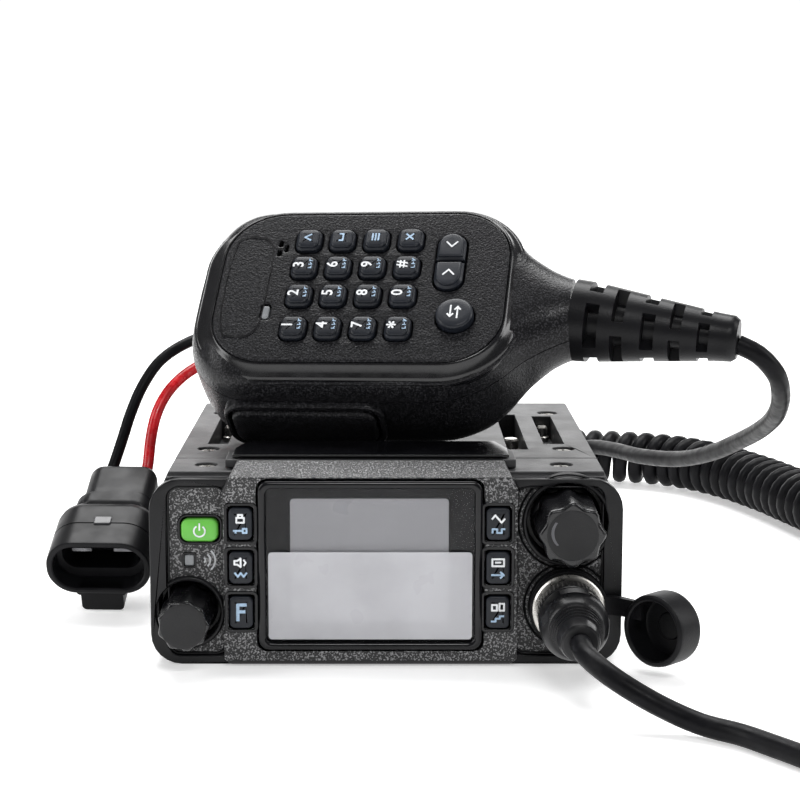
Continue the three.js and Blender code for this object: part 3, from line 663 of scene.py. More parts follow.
def casing():
    softened("chassis", "case_bottom", case_paint, 0.3)
    softened("top_cover", "case_top", case_paint, 0.3)
    softened("front_collar", "case_front", case_paint, 0.3)
    softened("label_plate", "label", gloss_black, 0.12)
    screws = [screw("s", x, y, SCREW_SEAT, above, 2.2, 1.3) for x, y in SCREWS]
    piece("top_screws", merged("top_screws", screws), nickel)
    posts = []
    for x, y, r in SLOT_POSTS:
        foot = SLOT_FLOOR - 0.2
        profile = [(0, foot), (r + 0.5, foot), (r + 0.5, SLOT_FLOOR + 1.2), (r, SLOT_FLOOR + 1.5),
                   (r, POST_TOP - 0.5), (r - 0.4, POST_TOP), (0, POST_TOP)]
        posts.append(turned("post", profile, above, x, y, 32))
    piece("slot_posts", merged("slot_posts", posts), nickel)
    ribs = []
    for x in (-34, 34):
        rib = polygon([(x - 2.2, -20), (x - 1.5, -20), (x - 1.5, 30), (x - 2.2, 30)])
        ribs.append(slab("rib", rib, SLOT_FLOOR - 0.2, SLOT_FLOOR + 3.2, above, 0.2))
    piece("slot_ribs", merged("slot_ribs", ribs), case_paint)


# ---- Radio: front ----
PLATE_FACE = 55.6  # of the grained side plates, in front of the origin
BLOCK_FACE = 59.5  # of the middle block
KEY_FOOT, KEY_TOP, POWER_TOP = 52, 60.2, 57.1
LAMP_AT = (-47.8, 25.7)
WELLS = [("volume_knob", 7.9, 1.0), ("channel_dial", 9.8, 1.3), ("mic_socket", 8.5, 0.9)]  # radius, rise
FRONT_KEYS = ("lock_key", "monitor_key", "function_key", "tone_key", "memory_key", "band_key")


def panel_finish(face):
    """Leather grain with its painted glints on the faces that look forwards and on the sloping brow, satin on
    the rest.
    """
    n, y, z = face.normal, -face.center.y / MM, face.center.z / MM
    flat = n.y < -0.95 and (abs(y - PLATE_FACE) < 0.2 or abs(y - BLOCK_FACE) < 0.2)
    brow = n.y < -0.2 and n.z > 0.4 and z > 45
    return 1 if flat or brow else 0


def lip(name, x, y, r, seat, rise, width=1.1):
    """A raised round lip that frames a well."""
    profile = [(r, seat - 0.8), (r, seat + rise - 0.25), (r + 0.25, seat + rise),
               (r + width - 0.35, seat + rise),
               (r + width, seat + rise - 0.35), (r + width, seat - 0.8)]
    return turned(name, profile, front, x, y, 72)


def front_face():
    panel = softened("front_panel", "panel", bezel_plastic, 0.3)
    panel.data.materials.append(leather_grain_and_glints)
    for face in panel.data.polygons:
        face.material_index = panel_finish(face)
    wells = []
    for node, r, rise in WELLS:
        u, v, _ = middle(node)
        wells.append(lip(node, u, v, r, PLATE_FACE, rise))
        if node != "volume_knob":
            wells.append(lip(node, u, v, r + 1.7, PLATE_FACE, 0.35, 0.6))
    piece("well_lips", merged("well_lips", wells), bezel_plastic, smooth=50)
    frames = []
    for node in FRONT_KEYS:
        u, v, _ = middle(node)
        outer, inner = rounded(u, v, 8.1, 10.3, 1.3), rounded(u, v, 6.5, 8.7, 0.7)
        frames.append(framed("frame", outer, inner, BLOCK_FACE - 0.5, BLOCK_FACE + 0.22, front, 0.2))
    piece("key_frames", merged("key_frames", frames), gloss_black)
    # Lips round the two grained side plates.
    steps = []
    for x0, x1 in ((-53.1, -38.6), (31.1, 52.8)):
        outer = rounded((x0 + x1) / 2, 23.2, x1 - x0, 42, 3)
        inner = rounded((x0 + x1) / 2, 23.2, x1 - x0 - 1.2, 40.8, 2.4)
        steps.append(framed("step", outer, inner, PLATE_FACE - 0.5, PLATE_FACE + 0.7, front, 0.3))
    piece("plate_lips", merged("plate_lips", steps), bezel_plastic)


def power_surround():
    u, v, _ = middle("power_button")
    outer, inner = rounded(u, v, 11, 7.6, 2.4), rounded(u, v, 9.5, 6.1, 1.7)
    ring = framed("power_frame", outer, inner, PLATE_FACE - 0.5, PLATE_FACE + 0.35, front, 0.25)
    piece("power_frame", ring, gloss_black)


def status_lamp():
    x, y = LAMP_AT
    lamp = slab("lamp", rounded(x, y, 2.3, 2.7, 0.5), KEY_FOOT, PLATE_FACE + 0.12, front, 0.3)
    piece("status_lamp", lamp, lamp_grey)
    outer, inner = rounded(x, y, 3.6, 4, 0.9), rounded(x, y, 2.5, 2.9, 0.5)
    ring = framed("lamp_frame", outer, inner, PLATE_FACE - 0.5, PLATE_FACE + 0.2, front, 0.15)
    piece("lamp_frame", ring, gloss_black)
    mark = []
    for r in (0.7, 1.9, 3.1):
        arc = [(-44.6 + r * math.cos(a), y + r * math.sin(a)) for a in np.linspace(-0.8, 0.8, 8)]
        mark.append((arc, PLATE_FACE))
    piece("lamp_mark", strokes("lamp_mark", mark, 0.42, 0.06, front), pale_ink, flatten=False)


def display():
    """Bezel, glass, light area, the dark mask round it, and a pale half-clear sheet over its lower part,
    which is a painted reflection on the glass.
    """
    lens_low, lens_high = box_mm("display_lens")
    u, v, _ = middle("display_lens")
    w, h = lens_high.x - lens_low.x, lens_high.z - lens_low.z
    outer, inner = rounded(u, v, 54.2, 41.8, 2.6), rounded(u, v, w - 1.4, h - 1.4, 1.5)
    bezel = framed("display_bezel", outer, inner, 57, 60.3, front, 0.9)
    piece("display_bezel", bezel, gloss_black, stands_for="display_frame")
    glass = slab("display_glass", rounded(u, v, w, h, 1.6), 58.6, 59.7, front, 0.2)
    piece("display_glass", glass, lens_glass, stands_for="display_lens")
    area = rounded(u - 0.2, v + 1.1, 38.3, 30.5, 1.0)
    screen = slab("display_screen", area, 57.4, 58.45, front, 0.1)
    piece("display_screen", screen, screen_grey, stands_for="lcd_module")
    mask = framed("display_mask", rounded(u, v, w - 0.6, h - 0.6, 1), area, 57.6, 58.5, front, 0.05)
    piece("display_mask", mask, gloss_black)
    # A painted reflection: a pale, half-clear sheet over the lower part of the glass.
    reflection_sheet = slab("display_painted_reflection", rounded(u, v - h / 2 + 12.2, w - 2.4, 21.6, 0.9), 59.72, 59.8, front, 0.02)
    piece("display_painted_reflection", reflection_sheet, painted_reflection)


# ---- Front keys ----
def ring_sign(x0, y0, x1, y1):
    return [(x0, y0), (x1, y0), (x1, y1), (x0, y1), (x0, y0)]


# Each key has an upper sign in white and a lower one in blue, as lines about the key's middle.
KEY_SIGNS = {
    "lock_key": (
        [ring_sign(-0.9, 0.4, 0.9, 1.6), [(-0.5, 1.7), (-0.5, 2.3), (0.5, 2.3), (0.5, 1.7)]],
        [[(-1.6, -1.6), (0.5, -1.6)], [(-1.1, -1.6), (-1.1, -2.1)], ring_sign(0.6, -1.1, 1.5, -2.1)]),
    "monitor_key": (
        [[(-1.5, 0.9), (-0.8, 0.9), (0, 0.3), (0, 2.4), (-0.8, 1.8), (-1.5, 1.8), (-1.5, 0.9)],
         [(0.8, 0.7), (1.2, 1.35), (0.8, 2)]],
        [[(-1.4, -1.2), (-0.7, -2.1), (0, -1.2), (0.7, -2.1), (1.4, -1.2)]]),
    "function_key": ([], [[(-0.8, -1.9), (-0.8, 1.9), (1.1, 1.9)], [(-0.8, 0.2), (0.8, 0.2)]]),
    "tone_key": (
        [[(-1.5, 1.3), (-0.75, 2.2), (0, 1.3), (0.75, 0.4), (1.5, 1.3)]],
        [[(-1.4, -2.1), (-1.4, -1.2), (-0.3, -1.2), (-0.3, -2.1), (0.8, -2.1), (0.8, -1.2), (1.5, -1.2)]]),
    "memory_key": (
        [[(-1.4, 0.5), (-1.4, 2.2), (1.4, 2.2), (1.4, 0.5), (-1.4, 0.5)], [(-0.6, 1.4), (0.6, 1.4)]],
        [[(-1.5, -1.7), (1.3, -1.7)], [(0.6, -1), (1.4, -1.7), (0.6, -2.4)]]),
    "band_key": (
        [ring_sign(-1.4, 0.5, -0.2, 1.9), ring_sign(0.4, 0.5, 1.5, 2.2)],
        [[(-1.5, -2.2), (-0.5, -2.2), (-0.5, -1.5), (0.5, -1.5), (0.5, -0.9), (1.4, -0.9)]]),
}


def dome(name, outline, foot, top, edge, crown, place):
    """A key: straight sides, a rounded rim and a slightly crowned top."""
    levels = [(outline(0), foot)] + [(outline(inset), top - drop) for inset, drop in quarter(edge, 5)]
    levels += [(outline(edge + 0.5), top + crown * 0.6), (outline(edge + 1.2), top + crown)]
    return stacked(name, levels, place)


def front_keys():
    for node in FRONT_KEYS:
        u, v, _ = middle(node)
        cap = dome(node, rounded(u, v, 5.7, 7.9, 1.4), KEY_FOOT, KEY_TOP, 0.5, 0.08, front)
        piece(node + "_cap", cap, key_rubber, node, stands_for=node)
        width = 0.8 if node == "function_key" else 0.46
        for part, lines, colour in zip(("upper", "lower"), KEY_SIGNS[node], (white_ink, blue_ink)):
            if lines:
                placed = [([(u + a, v + b) for a, b in line], KEY_TOP + 0.02) for line in lines]
                mesh = strokes(node, placed, width, 0.08, front)
                piece(f"{node}_{part}_sign", mesh, colour, node, flatten=False)


def power_button():
    u, v, _ = middle("power_button")
    cap = dome("power", rounded(u, v, 9, 5.6, 1.9), KEY_FOOT, POWER_TOP, 0.7, 0.15, front)
    piece("power_button_cap", cap, green_rubber, "power_button", stands_for="power_button")
    arc = [math.radians(a) for a in range(125, 416, 15)]
    ring = [(u + 1.35 * math.cos(a), v - 0.15 + 1.35 * math.sin(a)) for a in arc]
    lines = [(ring, POWER_TOP + 0.2), ([(u, v + 0.1), (u, v + 1.7)], POWER_TOP + 0.2)]
    sign = strokes("power_sign", lines, 0.38, 0.06, front)
    piece("power_sign", sign, white_ink, "power_button", flatten=False)


# ---- Knobs ----
def lobed(x, y, r, lobes, depth, sides=160):
    """A scalloped outline: rounded tips with hollows between them."""
    def at(inset=0.0):
        out = []
        for a in turns(sides):
            hollow = (0.5 - 0.5 * math.cos(lobes * a)) ** 0.75
            radius = r - depth * hollow - inset
            out.append((x + radius * math.cos(a), y + radius * math.sin(a)))
        return out
    return at


def knob(node, name, taper, r, lobes, depth, face_r):
    u, v, _ = middle(node)
    low, high = box_mm(node)
    back, face = -high.y, -low.y
    grip = lobed(u, v, r, lobes, depth)
    skirt = circle(u, v, r + 0.35, 160)
    levels = [(skirt(0), back), (skirt(0), back + 1.6), (skirt(0.3), back + 1.9), (grip(0.1), back + 2.2),
              (grip(0), back + 3)]
    levels += [(grip(taper * 0.4 * t), back + 3 + (face - back - 3.9) * t) for t in (0.3, 0.6, 1)]
    levels += [(grip(taper * 0.4 + inset), face - drop) for inset, drop in quarter(0.9, 5)]
    piece(name, stacked(name, levels, front), knob_rubber, node, smooth=40, stands_for=node)
    disc = dome(name, circle(u, v, face_r, 96), face - 0.4, face + 0.12, 0.2, 0.05, front)
    piece(name + "_face", disc, knob_face, node)
    return u, v, face


def knobs():
    knob("volume_knob", "volume_grip", 0.6, 6.5, 9, 0.6, 5.5)
    u, v, face = knob("channel_dial", "dial_grip", 0.8, 8.3, 8, 0.95, 6.1)
    # Painted highlight near the left edge of the dial's face: a lighter grey crescent between two arcs where
    # a finger dimple's rim catches light; the dimple itself is not cut.
    outer = [(u - 1.2 + 3.9 * math.cos(a), v + 0.6 + 3.9 * math.sin(a)) for a in np.linspace(2.4, 4.0, 20)]
    inner = [(u - 0.3 + 4.1 * math.cos(a), v + 0.6 + 4.1 * math.sin(a)) for a in np.linspace(3.9, 2.5, 20)]
    crescent = stacked("dial_dimple_highlight", tube_levels(outer + inner, face + 0.1, face + 0.24), front)
    piece("dial_dimple_highlight", crescent, dimple_highlight, "channel_dial", flatten=False)


# ---- Microphone socket, plug and dust cap ----
def socket():
    u, v, _ = middle("mic_socket")
    thread = [(0, 47), (6.8, 47), (6.8, 54.5), (8.2, 54.6), (8.2, PLATE_FACE)]
    for i in range(8):
        w = 55.7 + i * 0.66
        thread += [(8.8, w), (8.4, w + 0.33)]
    thread += [(8.8, 60.9), (8.5, 61.2), (6.7, 61.2), (6.4, 60.9), (6.4, 57.8), (0, 57.8)]
    ring = turned("socket_ring", thread, front, u, v)
    piece("socket_ring", ring, nickel, smooth=25, stands_for="mic_socket")


def knurled(x, y, r, ribs, depth=0.22):
    """A round outline with square ribs."""
    def at(inset=0.0):
        out = []
        for i, a in enumerate(turns(ribs * 4)):
            radius = r - inset - depth * (i % 4 in (0, 1))
            out.append((x + radius * math.cos(a), y + radius * math.sin(a)))
        return out
    return at


def plug_ring():
    u, v, _ = middle("mic_socket")
    ribs = 44
    knurl = knurled(u, v, 7.9, ribs)(0)
    band, bore = circle(u, v, 7.75, ribs * 4), circle(u, v, 5.7, ribs * 4)
    levels = [(band(0.6), 61.35), (band(0), 61.7), (band(0), 62.6), (knurl, 62.7), (knurl, 66.4),
              (band(0), 66.5),
              (band(0), 67.3), (band(0.35), 67.5), (band(0.35), 67.9), (band(0), 68.1), (band(0), 69.4),
              (band(0.5), 69.75), (bore(0), 69.75), (bore(0), 61.35)]
    ring = stacked("plug_ring", levels, front, hollow=True)
    piece("plug_ring", ring, plug_black, "mic_plug_ring", smooth=30, stands_for="mic_plug_ring")


def plug_body():
    u, v, _ = middle("mic_socket")
    body = [(0, 57.95), (5.9, 57.95), (5.9, 60.2), (5.4, 60.9), (5.4, 70.1), (7.85, 70.25), (8.2, 70.7),
            (8.2, 75.2),
            (8.05, 76.2), (7.7, 77.4), (7.0, 78.7), (6.6, 79.3)]
    for i in range(4):
        w, r = 79.5 + i * 1.5, 6.3 - i * 0.28
        body += [(r, w), (r, w + 0.8), (r - 0.45, w + 0.95), (r - 0.45, w + 1.4)]
    body += [(4.9, 85.8), (4.7, 88.2), (4.4, 89.6), (3.9, 90), (0, 90)]
    mesh = turned("plug_body", body, front, u, v)
    piece("plug_body", mesh, plug_black, smooth=38, stands_for="mic_plug_body")
    # Four raised lines across the top of the plug, each of three-sided bars end to end.
    bars = []
    for w in (71.6, 72.6, 73.6, 74.6):
        arc = np.linspace(math.radians(66), math.radians(114), 12)
        for a, b in zip(arc, arc[1:]):
            corners = [(t, r, d) for t in (a, b) for r, d in ((8.1, -0.2), (8.42, 0), (8.1, 0.2))]
            points = [front(u + r * math.cos(t), v + r * math.sin(t), w + d) for t, r, d in corners]
            bars.append(mesh_of("rib", points, [(0, 1, 2), (3, 5, 4), (0, 3, 4, 1), (1, 4, 5, 2),
                                                (2, 5, 3, 0)]))
    piece("plug_grip_lines", merged("plug_grip_lines", bars), plug_black, flatten=False)


CAP_AT = (69, -63.5, 11.6)
CAP_TURN = math.radians(45)


def on_cap(u, v, w):
    """w runs from the closed end of the cap towards its mouth."""
    c, s = math.cos(CAP_TURN), math.sin(CAP_TURN)
    x, y = u * c - w * s, -u * s - w * c
    return Vector((CAP_AT[0] + x, CAP_AT[1] + y, CAP_AT[2] + v)) * MM


def dust_cap():
    cup = [(0, 0), (7.4, 0), (8.2, 0.25), (8.6, 0.8), (8.8, 1.6), (8.8, 7.2), (8.65, 8.0), (8.2, 8.4),
           (7.6, 8.4), (7.25, 8.1),
           (7.25, 4), (7.1, 3.4), (6.9, 1.7), (6.2, 1.35), (3.4, 1.3), (3.1, 1.6), (0, 1.6)]
    strap = [(52.9, -60.2), (54.2, -60.2), (56.2, -61), (58.4, -63), (61, -65.6), (61.8, -64.6),
             (59.4, -62), (57.2, -59.6),
             (55.4, -58.4), (52.9, -58.2)]
    band = stacked("strap", [(strap, 13.2), (strap, 13.5), (strap, 17.3), (strap, 17.6)], above)
    piece("cap_and_strap", merged("cap", [turned("cup", cup, on_cap), band]), soft_rubber, "dust_cap",
          stands_for="dust_cap")
    u, v, _ = middle("mic_socket")
    loop = [(8.6, 58.4), (9.4, 58.4), (9.6, 58.7), (9.6, 59.7), (9.4, 60), (8.6, 60), (8.4, 59.7),
            (8.4, 58.7)]
    piece("strap_loop", turned("strap_loop", loop, front, u, v), soft_rubber)


# ---- Hand microphone ----
# The shell's closed end is at u = -44 and its round neck at u = NECK. Its halves meet at the seam's height.
SHELL_TOP, SHELL_BACK, SEAM = -2.2, -34.0, -12.0
NECK, NECK_R, NECK_W = 56.3, 10.5, -15.7
MIC_KEY_FOOT = -6.4
SHELL_SIDES = 112
# Half of the shell's width and the power of its section (2 is round), at places along it.
SHELL_HALF = [(-26, 29.9), (0, 29.9), (20, 29.9), (28, 28.8), (34, 26.4), (39.5, 22.4), (42, 19.9),
              (44.9, 17.1),
              (48.5, 14.6), (52.7, 12.2), (54.8, 11.1), (NECK, NECK_R)]
SHELL_POWER = [(-44, 3.2), (-30, 6), (26, 6), (39, 4.2), (45, 2.9), (51, 2.2), (NECK, 2)]
# Middle, length, width and corner radius.
FACE_PLATE = (2.4, 0, 75.6, 49.4, 15)
BEVEL_RING = (1.6, 0, 84.6, 57.2, 20)
MIC_KEYS = {"3": "3", "6": "6", "9": "9", "hash": "#", "2": "2", "5": "5", "8": "8", "0": "0", "1": "1",
            "4": "4",
            "7": "7", "star": "*"}
TOP_SIGNS = {
    "vfo": [[(-1, -0.8), (0, 0.8), (1, -0.8)]],
    "call": [[(-1.1, 0.5), (-1.1, -0.4), (1.1, -0.4), (1.1, 0.5)]],
    "menu": [[(-1.1, 0.8), (1.1, 0.8)], [(-1.1, 0), (1.1, 0)], [(-1.1, -0.8), (1.1, -0.8)]],
    "fun": [[(-0.9, -0.9), (0.9, 0.9)], [(-0.9, 0.9), (0.9, -0.9)]],
}


def shell_loft():
    stations = np.concatenate([(-44, -43.98), np.linspace(-43.6, -26, 22), np.linspace(-24, 26, 14),
                               np.linspace(28, NECK, 34)])
    half = spline(np.array([(x, y, 0) for x, y in SHELL_HALF]), 0.3)
    points, rows = [], []
    for x in stations:
        a = float(np.interp(x, half[:, 0], half[:, 1]))
        if x < -22:
            a *= max(0.0, 1 - ((-22 - x) / 22.6) ** 2.3) ** (1 / 2.3)
        n = float(np.interp(x, *zip(*SHELL_POWER)))
        to_neck = min(1, max(0, (x - 34) / (NECK - 34)))
        to_neck = to_neck * to_neck * (3 - 2 * to_neck)
        high = SHELL_TOP * (1 - to_neck) + (NECK_W + NECK_R) * to_neck
        low = SHELL_BACK * (1 - to_neck) + (NECK_W - NECK_R) * to_neck
        centre, b = (high + low) / 2, (high - low) / 2
        if x < -32:
            b *= max(0.0, 1 - ((-32 - x) / 12.25) ** 2.2) ** (1 / 2.2)
        ring = []
        for k in range(SHELL_SIDES):
            t = 2 * math.pi * (k + 0.5) / SHELL_SIDES
            c, s = math.cos(t), math.sin(t)
            v = a * math.copysign(abs(c) ** (2 / n), c)
            ring.append(on_mic(x, v, centre + b * math.copysign(abs(s) ** (2 / n), s)))
        add_row(points, rows, ring)
    return mesh_of("shell", points, capped(rows))


def trimmed(name, mesh, side, height):
    """The part of a microphone mesh above (side 1) or below (side -1) a height, closed again."""
    bm = bmesh.new()
    bm.from_mesh(mesh)
    normal = (on_mic(0, 0, side) - on_mic(0, 0, 0)).normalized()
    cut = bmesh.ops.bisect_plane(bm, geom=bm.verts[:] + bm.edges[:] + bm.faces[:],
                                 plane_co=on_mic(0, 0, height),
                                 plane_no=normal, clear_inner=True)
    bmesh.ops.holes_fill(bm, edges=[e for e in cut["geom_cut"] if isinstance(e, bmesh.types.BMEdge)])
    made = bpy.data.meshes.new(name)
    bm.to_mesh(made)
    bm.free()
    return made


def carve(name, mesh, tool_mesh):
    """A mesh with another one cut out of it."""
    blank, tool = bpy.data.objects.new("blank", mesh), bpy.data.objects.new("tool", tool_mesh)
    for one in (blank, tool):
        bpy.context.collection.objects.link(one)
    cut = blank.modifiers.new("cut", "BOOLEAN")
    cut.operation, cut.solver, cut.object = "DIFFERENCE", "EXACT", tool
    shape = evaluated(blank)
    for one in (blank, tool):
        bpy.data.objects.remove(one)
    shape.name = name
    return shape


def on_mic_side(u, v, w):
    """On the microphone's lower side: u along it, v up towards its face, w out of the side."""
    return on_mic(u, -w, v)


def talk_outline(longer, higher, r):
    """An outline about the talk bar."""
    (x0, y0), (x1, y1) = ((-30, -27), (8, -14))
    return rounded((x0 + x1) / 2, (y0 + y1) / 2, x1 - x0 + longer, y1 - y0 + higher, r)


def mic_shells():
    loft = shell_loft()
    well = stacked("well", tube_levels(rounded(*FACE_PLATE)(1.5), -11, 0), on_mic)
    lid = carve("mic_shell_front", trimmed("lid", loft, 1, SEAM + 0.13), well)
    piece("mic_shell_front", lid, mic_grain_and_glints, "hand_microphone", smooth=50, stands_for="mic_front_shell")
    pocket = stacked("pocket", tube_levels(talk_outline(1, 1, 3.8)(0), 23, 36), on_mic_side)
    tub = carve("mic_shell_back", trimmed("tub", loft, -1, SEAM - 0.13), pocket)
    piece("mic_shell_back", tub, mic_grain_and_glints, "hand_microphone", smooth=50, stands_for="mic_back_shell")


def push_to_talk():
    outline = talk_outline(0, 0, 3.6)
    levels = [(outline(0), 27.5), (outline(0), 30.4)]
    levels += [(outline(inset), 32.5 - drop) for inset, drop in quarter(1.6, 6)]
    levels += [(outline(2.6), 32.65), (outline(3.4), 32.7)]
    bar = stacked("talk_bar", levels, on_mic_side)
    piece("talk_bar", bar, mic_grain_and_glints, "ptt_bar", stands_for="ptt_bar")
    rim = framed("talk_rim", talk_outline(4, 3.4, 4.8), talk_outline(0.8, 0.8, 3.8), 28.2, 31.6,
                 on_mic_side, 1.1)
    piece("talk_rim", rim, mic_grain_and_glints, "hand_microphone")


def key_middle(node):
    """Centre of a microphone key in the microphone's own frame."""
    low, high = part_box(node)
    p = MIC_FRAME.inverted() @ ((low + high) / 2) / MM
    return p.x, p.y


def mic_face():
    holes = []
    for name in (*MIC_KEYS, *TOP_SIGNS):
        holes.append(rounded(*key_middle("mic_key_" + name), 7.4, 7.6, 2.3))
    down, up = key_middle("mic_down_key"), key_middle("mic_up_key")
    holes.append(rounded((down[0] + up[0]) / 2, (down[1] + up[1]) / 2, 8.2, 18.9, 3.6))
    holes.append(circle(*key_middle("mic_ab_key"), 5.1))
    # Three sound holes, then the lamp's window.
    holes += [rounded(-21, y, 1.1, 2.2, 0.5, 4) for y in (11.4, 14.6)] + [rounded(-19.3, 13, 0.9, 2.6, 0.4,
                                                                                  4)]
    holes.append(rounded(-21.6, -8.6, 2.6, 5.4, 1.1))
    face = plate("mic_face", rounded(*FACE_PLATE, 14), holes, -6.2, -1.8, on_mic, 0.45)
    piece("mic_face", face, mic_grain_and_glints, "hand_microphone")


def mic_surround():
    """The glossy slope round the face plate and the bead at its foot."""
    inner, outer = rounded(*FACE_PLATE, 14), rounded(*BEVEL_RING, 14)
    levels = [(inner(-0.15), -6), (inner(-0.15), -2.15), (inner(-0.4), -1.95), (inner(-0.8), -2.1),
              (inner(-1.1), -2.6), (outer(1.6), -3.9), (outer(0.8), -4.35), (outer(0.2), -5.1), (outer(0),
                                                                                                 -6.0),
              (outer(0), -9), (outer(2), -9)]
    slope = stacked("mic_bevel", levels, on_mic, hollow=True)
    piece("mic_bevel", slope, mic_gloss, "hand_microphone", smooth=40)
    levels = [(outer(0.1), -5.4), (outer(-0.35), -5.6), (outer(-0.45), -6.0), (outer(-0.3), -6.5),
              (outer(0.3), -6.9)]
    bead = stacked("mic_bead", levels, on_mic, hollow=True)
    piece("mic_bead", bead, mic_grain_and_glints, "hand_microphone", smooth=60)


def mic_lamp():
    lamp = slab("mic_lamp", rounded(-21.6, -8.8, 2, 4.2, 0.8), -6, -1.75, on_mic, 0.4)
    piece("mic_lamp", lamp, lamp_grey, "hand_microphone")


def badge():
    """A shallow blank badge: the raised outline of a field with bulging sides."""
    corners = [(1.5, -17), (8, -17), (10.2, -14), (11, 0), (10.2, 14), (8, 16.5), (1.5, 16.5), (0, 12),
               (0, -12)]
    corners = [(-33.2 + a, b, 0) for a, b in corners]
    outline = [(a, b) for a, b, _ in spline(np.array(corners + corners[:1]), 0.6)[:-1]]
    centre = np.mean(np.array(outline), axis=0)
    inside = [tuple(centre + (np.array(p) - centre) * 0.955) for p in outline]
    levels = [(outline, -1.85), (outline, -1.68), (inside, -1.68), (inside, -1.85)]
    line = stacked("badge_line", levels, on_mic, hollow=True)
    piece("badge_line", line, mic_gloss, "hand_microphone")


def turned_sign(x, y):
    """A place that puts signs along the microphone's width, tops towards its closed end."""
    return lambda a, b, c=0.0: on_mic(x - b, y + a, 0.12 + c)


def mic_keys():
    for name in (*MIC_KEYS, *TOP_SIGNS):
        node = "mic_key_" + name
        x, y = key_middle(node)
        outline = rounded(x, y, 6.8, 7, 2.1, 10)
        levels = [(outline(0), MIC_KEY_FOOT), (outline(0), -1.5), (outline(0.15), -1.1),
                  (outline(0.55), -0.75)]
        levels += [(outline(0.55 + inset), -drop) for inset, drop in quarter(0.6, 5)]
        levels += [(outline(1.7), 0.07), (outline(2.4), 0.1)]
        piece(node + "_cap", stacked(node, levels, on_mic), key_rubber, node, stands_for=node)
        if name in MIC_KEYS:
            size, shift = (5.2, 0.4) if name == "star" else (4.0, 1.1)
            sign = lettering(node, MIC_KEYS[name], size, turned_sign(x - shift, y))
            piece(node + "_sign", merged(node, [sign]), white_ink, node, flatten=False)
            # Meaningless small marks in place of the letters.
            lines = [([(a, -2.3), (a, -1.5)], 0.0) for a in (-1.2, 0.0, 1.2)]
            for i, a in enumerate((-1.2, 0.0, 1.2)):
                bar = [(a, -2.3 + 0.4 * (len(name) + i) % 0.8), (a + 0.6, -2.3 + 0.4 * (i % 3))]
                lines.append((bar, 0.0))
            marks = strokes(node, lines, 0.24, 0.04, turned_sign(x, y))
            piece(node + "_marks", marks, blue_ink, node, flatten=False)
        else:
            sign = strokes(node, [(line, 0.0) for line in TOP_SIGNS[name]], 0.45, 0.05, turned_sign(x, y))
            piece(node + "_sign", sign, blue_ink, node, flatten=False)


def arched(x, y, far, inset=0.0):
    """Straight on the side that two keys share and half round on the other one."""
    half, reach = 3.7 - inset, 4.3 - inset
    arc = [(x + half * math.cos(a), y + far * (reach - 3.4) + far * 3.4 * math.sin(a))
           for a in np.linspace(0, math.pi, 21)]
    return arc + [(x - half, y - far * reach), (x + half, y - far * reach)]


def up_down_keys():
    for node, far in (("mic_down_key", 1), ("mic_up_key", -1)):
        x, y = key_middle(node)
        insets = [(0, MIC_KEY_FOOT), (0, -1.4), (0.5, -0.8)]
        insets += [(0.5 + inset, -drop) for inset, drop in quarter(0.5, 5)] + [(2, 0.08)]
        levels = [(arched(x, y, far, inset), w) for inset, w in insets]
        piece(node + "_cap", stacked(node, levels, on_mic), key_rubber, node, stands_for=node)
        chevron = [(x - 1.2, y + 0.7 * far), (x + 0.2, y - 0.9 * far), (x + 1.6, y + 0.7 * far)]
        piece(node + "_sign", strokes(node, [(chevron, 0.1)], 0.42, 0.08, on_mic), white_ink, node,
              flatten=False)


def swap_key():
    node = "mic_ab_key"
    x, y = key_middle(node)
    cap = dome(node, circle(x, y, 4.8, 64), MIC_KEY_FOOT, 0.4, 0.9, 0.12, on_mic)
    piece(node + "_cap", cap, key_rubber, node, stands_for=node)
    swap = [[(-2, -0.9), (1.6, -0.9)], [(0.7, -0.2), (1.6, -0.9), (0.7, -1.6)], [(2, 0.9), (-1.6, 0.9)],
            [(-0.7, 1.6), (-1.6, 0.9), (-0.7, 0.2)]]
    sign = strokes(node, [(line, 0.42) for line in swap], 0.42, 0.06, turned_sign(x, y))
    piece(node + "_sign", sign, white_ink, node, flatten=False)


# ---- Boot of the microphone's cord ----
BOOT_LENGTH, BOOT_ROOT, BOOT_TIP, BOOT_DROOP = 42.4, 10.6, 5.0, math.radians(-8.5)
BOOT_SLOTS = [(6.2, 3.4, 45), (12.8, 3.0, 0), (20.4, 3.2, 45), (27.2, 2.7, 0),
              (34.2, 2.6, 45)]  # middle, width, turn
BOOT_SIDES = 192


